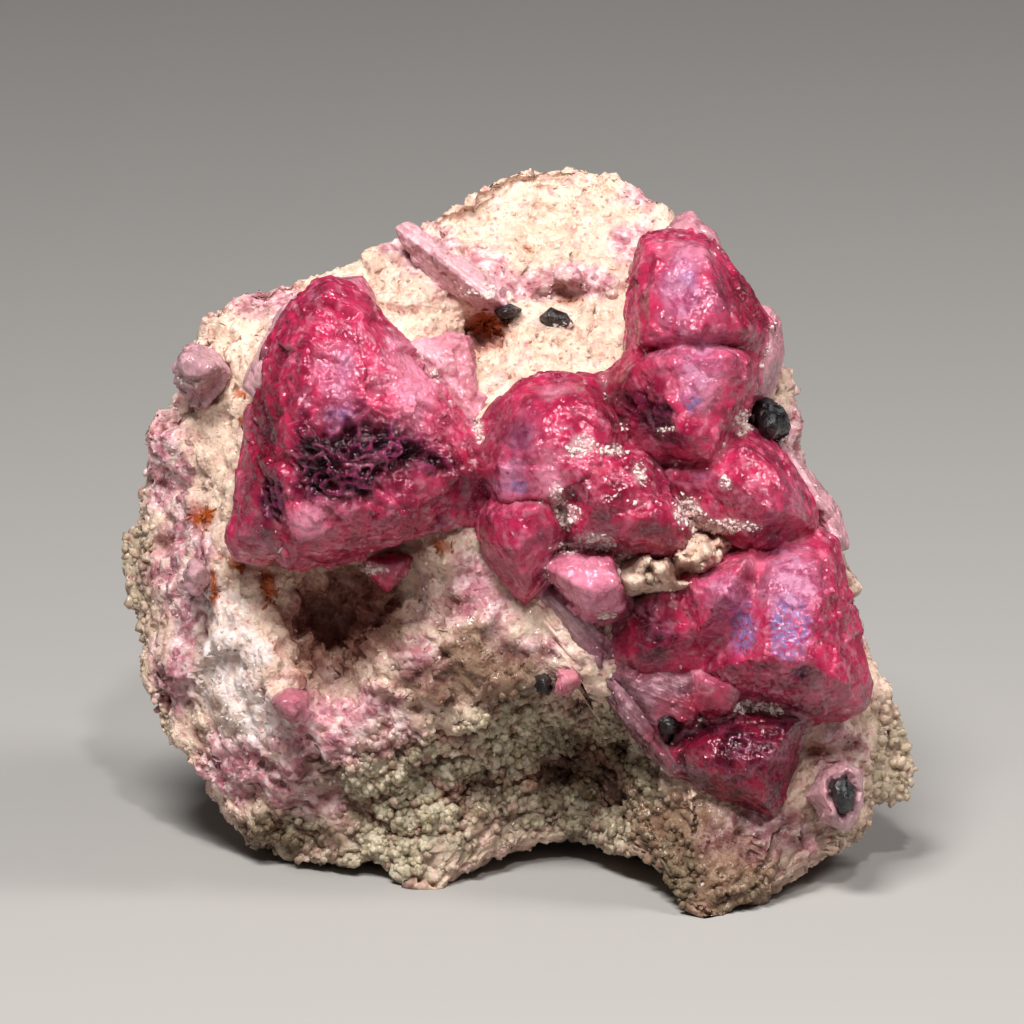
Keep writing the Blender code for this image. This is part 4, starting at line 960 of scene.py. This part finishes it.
def solid_triangles(node):
    """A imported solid's triangles, as rows of three places on the sheet."""
    mesh = SOLIDS[node].data
    mesh.calc_loop_triangles()
    corners = np.empty(len(mesh.loop_triangles) * 3, np.int32)
    mesh.loop_triangles.foreach_get("vertices", corners)
    places = np.empty(len(mesh.vertices) * 3, np.float32)
    mesh.vertices.foreach_get("co", places)
    return to_sheet(places.reshape(-1, 3)[corners].astype(float)).reshape(-1, 3, 3)


def middle_of(triangles):
    """The centre of mass of the solid that the triangles enclose."""
    start = triangles.mean(axis=(0, 1))
    a, b, c = (triangles[:, k] - start for k in range(3))
    volume = np.einsum("ij,ij->i", a, np.cross(b, c))
    return start + ((a + b + c) * volume[:, None]).sum(axis=0) / (4 * volume.sum())


def reach_of(triangles, directions):
    """How far the solid goes from the origin along each direction.

    A direction meets a triangle where it is a sum of the triangle's three corners with no
    share below zero. The distance there is one over the sum of the shares.
    """
    shares = np.einsum("tij,nj->nti", np.linalg.inv(triangles.transpose(0, 2, 1)), directions)
    total = shares.sum(axis=2)
    hit = (shares > -1e-7).all(axis=2) & (total > 1e-9)
    return np.where(hit, 1 / np.where(hit, total, 1), 0).max(axis=1)


def crystal_relief(sheet, looks, wave, plates, pits, hackle, seed):
    """Millimetres to move a point of a crystal out of its surface.

    Slow waves; three sizes of growth plates, each a tilted face of its own, with a groove on
    the line between two of them; etch pits as dimples at the middles of small cells; and in
    its core, steep crossed ridges: folded noise, stretched sideways. The ridges and the
    plates' edges become looks too.
    """
    swirl = np.column_stack([lumpiness(sheet, 2.2, seed + k) for k in range(3)])
    bent = sheet + swirl * 0.55
    rise = lumpiness(sheet, 5.0, seed + 11) * wave
    rise += broken_blocks(bent, 4.6, seed + 43)[0] * plates * 1.5
    level, _, line = broken_blocks(bent, 2.1, seed + 13)
    groove = np.exp(-((line / 0.08) ** 2))
    patch = 0.35 + 0.65 * smooth_step(lumpiness(sheet, 6.0, seed + 14), -0.3, 0.3)
    rise += (level * 0.6 - groove * 0.35) * plates * patch
    level, _, line = broken_blocks(bent, 1.05, seed + 17)
    thin = np.exp(-((line / 0.09) ** 2))
    rise += (level * 0.4 - thin * 0.2) * plates * patch
    looks["edge"] = np.clip(groove + thin * 0.7, 0, 1) * patch
    looks["edge"] *= smooth_step(lumpiness(sheet, 1.6, seed + 47), -0.1, 0.5)
    _, middle, _ = broken_blocks(sheet, 0.75, seed + 19)
    rise -= np.clip(1 - (middle / 0.36) ** 2, 0, 1) * pits
    core = looks["core"]
    squeezed = bent * (0.75, 1.15, 1.0)
    ridge = 1 - 2.2 * np.abs(lumpiness(squeezed, 1.15, seed + 23))
    ridge += 0.45 * (1 - 2.2 * np.abs(lumpiness(squeezed, 0.55, seed + 29)))
    looks["ridge"] = smooth_step(ridge, 0.35, 1.3)
    return rise + core * (ridge * 0.42 - 0.75) * hackle


def crystal_form(node):
    """A crystal's middle, its solid's triangles from there, and the stretch of its skin."""
    triangles = solid_triangles(node)
    middle = middle_of(triangles) + OFF_GRID
    extent = np.ptp(triangles, axis=(0, 1))
    share = np.clip(extent.min() / FULL_FILL, LEAST_FILL.get(node, 0.25), 1)
    fill = np.array(GAP_FILL) * share
    return middle, triangles - middle, 1 + 2 * fill / extent


def gap_to_neighbours(places, node):
    """Millimetres from each place to the nearest other crystal, below zero inside it.

    It is measured along the arm from the other crystal's middle, as the length of the arm
    less the crystal's reach in that direction.
    """
    gap = np.full(len(places), FAR)
    for other in (*RASPBERRY, *ROSE, *LILAC):
        middle, triangles, swell = crystal_form(other)
        arm = (places - middle) / swell
        length = np.linalg.norm(arm, axis=1)
        near = length < np.linalg.norm(triangles, axis=2).max() + JOIN
        near = np.flatnonzero(near) if other != node else np.empty(0, int)
        for part in np.array_split(near, len(near) // BATCH + 1):
            reach = reach_of(triangles, arm[part] / length[part, None])
            gap[part] = np.minimum(gap[part], length[part] - reach)
    return gap


def rib_place(places):
    """How far each place lies to the side of the crystal's long axis on the sheet, in metres."""
    flat = places[:, :2] - places[:, :2].mean(axis=0)
    side = np.linalg.eigh(flat.T @ flat)[1][:, 0]
    return flat @ side * MM


def crystal_surface(node, seed, growth):
    """A crystal round its solid: a function of a ball's directions, rounded, then etched.

    Each direction's distance is read off the solid's triangles from its middle, and raised
    to the mean of those round it where that is larger, which fills grooves. The form is
    stretched to close the solids' gaps, and its edges are rounded by moving corners to their
    neighbours' mean. Towards another crystal it swells by the square of what the gap falls
    short of the fillet's width. Its relief then moves it along its normals.
    """
    squares, rounding, wave, plates, pits, hackle, ribs, pallor = growth
    middle, triangles, swell = crystal_form(node)
    ball, faces = ball_grid(squares, CRYSTAL_FRONT_SHARE)
    parts = np.array_split(ball, max(1, len(ball) // BATCH))
    reach = np.concatenate([reach_of(triangles, part) for part in parts])
    passes = squares**2 // GROOVE_SHARE
    evened = rounded(np.repeat(reach[:, None], 3, axis=1), faces, passes)[:, 0]
    reach = np.maximum(reach, evened)
    if node in HELD:
        held = (solid_triangles(HELD[node]) - middle) * HELD_SHARE
        reach = np.maximum(reach, reach_of(held, ball))
    places = rounded(middle + ball * reach[:, None] * swell, faces, rounding)
    faces = outward(places, faces)
    alone = node in SCHORL
    gap = np.full(len(places), FAR) if alone else gap_to_neighbours(places, node)
    fillet = np.clip(JOIN - gap, 0, JOIN) ** 2 / (4 * JOIN)
    places = places + normals_of(places, faces) * fillet[:, None]
    looks = {
        name: look_strength(places, spots, 101 + turn * 3, LOOK_BORDERS[name])
        for turn, (name, spots) in enumerate(CRYSTAL_LOOKS.items())
    }
    facing = smooth_step(normals_of(places, faces)[:, 2], -0.2, 0.3)
    looks = {name: strength * facing for name, strength in looks.items()}
    rise = crystal_relief(places, looks, wave, plates, pits, hackle, seed)
    places = places + normals_of(places, faces) * rise[:, None]
    powder = lumpiness(places, 1.1, seed + 31) + 0.4 * lumpiness(places, 0.5, seed + 37)
    low = smooth_step(places[:, 2].max() - places[:, 2], 3.0, 8.0)
    crust = look_strength(places, CRUMBS, CRUMB_SEED) * facing * 0.7
    looks["dust"] = np.maximum(smooth_step(powder, 0.75, 0.95) * (0.1 + 0.6 * low), crust)
    seam = np.exp(-((np.clip(gap, 0, None) / 0.7) ** 2)) * (gap > -0.8) * facing
    looks["seam"] = seam * smooth_step(lumpiness(places, 2.4, 307), -0.2, 0.4)
    looks["dust"] = np.maximum(looks["dust"], looks["seam"] * 0.3)
    looks["rib"] = rib_place(places)
    looks["ribbed"] = np.full(len(places), ribs)
    looks["pallor"] = np.full(len(places), pallor)
    return places, faces, looks


def skin_surface(pieces):
    """The finished skins as one surface on the sheet, with the look of crumbs on its front."""
    places, faces, facing, seams = [], [], [], []
    for piece in pieces:
        mesh = piece.data
        seam = np.empty(len(mesh.vertices), np.float32)
        mesh.attributes["seam"].data.foreach_get("value", seam)
        seams.append(seam)
        spots = np.empty(len(mesh.vertices) * 3, np.float32)
        mesh.vertices.foreach_get("co", spots)
        squares = np.empty(len(mesh.loops), np.int32)
        mesh.loops.foreach_get("vertex_index", squares)
        spots, squares = to_sheet(spots.reshape(-1, 3).astype(float)), squares.reshape(-1, 4)
        facing.append(smooth_step(normals_of(spots, squares)[:, 2], 0.0, 0.4))
        faces.append(squares + sum(len(part) for part in places))
        places.append(spots)
    places = np.concatenate(places)
    crust = look_strength(places, CRUMBS, CRUMB_SEED) + 0.12 * np.concatenate(seams)
    looks = {"crumbs": crust * np.concatenate(facing)}
    return places, np.concatenate(faces), looks


def place_piece(name, surface, material, stands_for=(), smooth=True):
    """Adds a surface given on the sheet as a piece of the specimen."""
    places, faces, looks = surface
    world = to_world(places)
    world[:, 2] = np.maximum(world[:, 2], 0)
    piece = add_piece(name, world, faces, looks, material, smooth)
    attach(piece, "root")
    if stands_for:
        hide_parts(*stands_for)
    return piece


def grow_crystals(table, material):
    """Grows every crystal of a table round its solid."""
    for turn, (node, growth) in enumerate(table.items()):
        surface = crystal_surface(node, CRYSTAL_SEED + turn * 50, growth)
        place_piece(f"{node}_skin", surface, material, (node,))


class SPECIMEN_PG_rock(bpy.types.PropertyGroup):
    """Sizes and colours of the matrix."""

    squares: IntProperty(
        name="Grid squares",
        description="Squares along each side of the cube that the rock's grid starts from",
        default=127, min=20, max=127,
    )
    front_share: FloatProperty(
        name="Front share",
        description="How strongly the grid crowds towards the viewer",
        default=0.35, min=0.0, max=0.8,
    )
    cream: FloatVectorProperty(
        name="Cream", description="The main colour of the feldspar",
        subtype="COLOR", size=4, default=linear("CDAE99"), min=0, max=1,
    )
    pink: FloatVectorProperty(
        name="Pink", description="The colour of the feldspar's pink patches",
        subtype="COLOR", size=4, default=linear("C98C93"), min=0, max=1,
    )
    fine_grains: IntProperty(
        name="Fine grains", description="How many small sugar grains lie on the rock",
        default=8000, min=1, max=9900,
    )
    coarse_grains: IntProperty(
        name="Coarse grains", description="How many larger grains lie on the rock",
        default=4000, min=1, max=9900,
    )
    grain_size: FloatProperty(
        name="Grain size", description="Width of the largest coarse grains",
        unit="LENGTH", default=0.0013, min=0.0005, max=0.002,
    )


class SPECIMEN_PG_crystals(bpy.types.PropertyGroup):
    """Colours of the crystals."""

    raspberry: FloatVectorProperty(
        name="Raspberry", description="The main colour of the mushroom crystals",
        subtype="COLOR", size=4, default=linear("BA2A52"), min=0, max=1,
    )
    rose: FloatVectorProperty(
        name="Rose", description="The main colour of the paler crystals",
        subtype="COLOR", size=4, default=linear("C4657E"), min=0, max=1,
    )
    lilac: FloatVectorProperty(
        name="Lilac", description="The main colour of the striated crystals",
        subtype="COLOR", size=4, default=linear("8E606B"), min=0, max=1,
    )


class SPECIMEN_OT_matrix(bpy.types.Operator):
    """Build the matrix and the sugar grains on it"""

    bl_idname = "specimen.matrix"
    bl_label = "Feldspar matrix"

    def execute(self, context):
        rock = context.scene.specimen_rock
        material = feldspar()
        surface = rock_surface(rock.squares, rock.front_share)
        place_piece("matrix_stone", surface, material, ("matrix",))
        fine = sugar_grains(surface, rock.fine_grains, *FINE_SUGAR)
        place_piece("matrix_fine_sugar", fine, material, smooth=False)
        widest = rock.grain_size / MM
        widths = (widest / 2, widest)
        coarse = sugar_grains(surface, rock.coarse_grains, widths, *COARSE_SUGAR)
        place_piece("matrix_coarse_sugar", coarse, material)
        blades = sugar_grains(surface, RUST_COUNT, *RUST_BLADES)
        blades[2]["rust"][:] = 1.0
        place_piece("rust_blades", blades, material, smooth=False)
        return {"FINISHED"}


class SPECIMEN_OT_raspberry(bpy.types.Operator):
    """Grow the raspberry crystals round their solids"""

    bl_idname = "specimen.raspberry"
    bl_label = "Raspberry crystals"

    def execute(self, context):
        colour = context.scene.specimen_crystals.raspberry
        material = elbaite("elbaite_raspberry", colour, linear("861437"), linear("DC8CA4"))
        grow_crystals(RASPBERRY, material)
        return {"FINISHED"}


class SPECIMEN_OT_rose(bpy.types.Operator):
    """Grow the paler rose crystals round their solids"""

    bl_idname = "specimen.rose"
    bl_label = "Rose crystals"

    def execute(self, context):
        colour = context.scene.specimen_crystals.rose
        material = elbaite("elbaite_rose", colour, linear("A23C56"), linear("E6B4BE"))
        grow_crystals(ROSE, material)
        return {"FINISHED"}


class SPECIMEN_OT_lilac(bpy.types.Operator):
    """Grow the striated lilac crystals round their solids"""

    bl_idname = "specimen.lilac"
    bl_label = "Lilac crystals"

    def execute(self, context):
        colour = context.scene.specimen_crystals.lilac
        material = elbaite("elbaite_lilac", colour, linear("74424F"), linear("CDA6AF"))
        grow_crystals(LILAC, material)
        return {"FINISHED"}


class SPECIMEN_OT_schorl(bpy.types.Operator):
    """Break out the black schorl grains round their solids"""

    bl_idname = "specimen.schorl"
    bl_label = "Schorl grains"

    def execute(self, context):
        grow_crystals(SCHORL, black_schorl())
        return {"FINISHED"}


class SPECIMEN_OT_extras(bpy.types.Operator):
    """Strew the white crumbs that cling to the crystals"""

    bl_idname = "specimen.extras"
    bl_label = "White crumbs"

    def execute(self, context):
        nodes = (*RASPBERRY, *ROSE, *LILAC, *SCHORL)
        skin = skin_surface([bpy.data.objects[f"{node}_skin"] for node in nodes])
        crumbs = sugar_grains(skin, CRUMB_COUNT, *WHITE_CRUMBS)
        crumbs[2]["white"] = np.ones_like(crumbs[2].pop("crumbs"))
        material = bpy.data.materials["feldspar_sugary"]
        place_piece("white_crumbs", crumbs, material, smooth=False)
        return {"FINISHED"}


class SPECIMEN_OT_stage(bpy.types.Operator):
    """Set the floor, the studio light and the camera"""

    bl_idname = "specimen.stage"
    bl_label = "Stage"

    def execute(self, context):
        add_floor()
        add_lights()
        add_camera()
        return {"FINISHED"}


def add_floor():
    """A plain pale floor, wide enough to fill the view."""
    material, tree, _ = new_material("floor_pale")
    add(tree, "surface", add(tree, "shader", linear("A19E9B"), 0.8))
    corners = np.array([(-1, -1, 0), (1, -1, 0), (1, 1, 0), (-1, 1, 0)]) * FLOOR_REACH
    floor = add_piece("floor", corners, np.array([[0, 1, 2, 3]]), {}, material, False)


def add_light(name, place, width, height, power, colour):
    """A soft rectangular light that faces the specimen."""
    light = bpy.data.lights.new(name, "AREA")
    light.shape = "RECTANGLE"
    light.size = width
    light.size_y = height
    light.energy = power
    light.color = colour
    lamp = bpy.data.objects.new(name, light)
    bpy.context.scene.collection.objects.link(lamp)
    lamp.location = place
    aim = Vector(LIGHT_AIM) - Vector(place)
    lamp.rotation_euler = aim.to_track_quat("-Z", "Y").to_euler()


def add_lights():
    """A soft key from above, one from the side, a small one for glints, a dim surround."""
    for name, settings in LIGHTS.items():
        add_light(name, *settings)
    world = bpy.data.worlds.new("surround")
    world.use_nodes = True
    background = world.node_tree.nodes["Background"]
    background.inputs["Color"].default_value = SURROUND
    background.inputs["Strength"].default_value = SURROUND_STRENGTH
    bpy.context.scene.world = world
    bpy.context.scene.view_settings.view_transform = "Standard"


def add_camera():
    """The camera in front, looking down by the view's tilt at the middle of the sheet."""
    camera = bpy.data.cameras.new("camera")
    camera.sensor_width = SENSOR_WIDTH
    camera.lens = SENSOR_WIDTH * CAMERA_DISTANCE / CAMERA_FIELD
    camera.clip_start = 0.01
    eye = bpy.data.objects.new("camera", camera)
    bpy.context.scene.collection.objects.link(eye)
    aim = Vector(to_world(np.array([CAMERA_AIM]))[0])
    back = Vector((0, -math.cos(VIEW_TILT), math.sin(VIEW_TILT)))
    eye.location = aim + back * CAMERA_DISTANCE
    eye.rotation_euler = (math.pi / 2 - VIEW_TILT, 0, 0)
    bpy.context.scene.camera = eye


class SPECIMEN_PT_panel(bpy.types.Panel):
    """The specimen's settings and the steps that build it"""

    bl_label = "Elbaite specimen"
    bl_idname = "SPECIMEN_PT_panel"
    bl_space_type = "VIEW_3D"
    bl_region_type = "UI"
    bl_category = "Specimen"

    def draw(self, context):
        layout = self.layout
        for group in (context.scene.specimen_rock, context.scene.specimen_crystals):
            box = layout.box()
            for setting in group.__annotations__:
                box.prop(group, setting)
        for step in STEPS:
            layout.operator(step.bl_idname)


GROUPS = (SPECIMEN_PG_rock, SPECIMEN_PG_crystals)
STEPS = (
    SPECIMEN_OT_matrix, SPECIMEN_OT_raspberry, SPECIMEN_OT_rose, SPECIMEN_OT_lilac,
    SPECIMEN_OT_schorl, SPECIMEN_OT_extras, SPECIMEN_OT_stage,
)


def register():
    """Adds the classes and their settings to Blender."""
    for item in GROUPS + STEPS + (SPECIMEN_PT_panel,):
        bpy.utils.register_class(item)
    bpy.types.Scene.specimen_rock = PointerProperty(type=SPECIMEN_PG_rock)
    bpy.types.Scene.specimen_crystals = PointerProperty(type=SPECIMEN_PG_crystals)


def unregister():
    """Takes them out again."""
    del bpy.types.Scene.specimen_crystals
    del bpy.types.Scene.specimen_rock
    for item in reversed(GROUPS + STEPS + (SPECIMEN_PT_panel,)):
        bpy.utils.unregister_class(item)


def main():
    """Builds every piece in order."""
    register()
    bpy.ops.specimen.matrix()
    bpy.ops.specimen.raspberry()
    bpy.ops.specimen.rose()
    bpy.ops.specimen.lilac()
    bpy.ops.specimen.schorl()
    bpy.ops.specimen.extras()
    bpy.ops.specimen.stage()


if __name__ == "__main__":
    main()
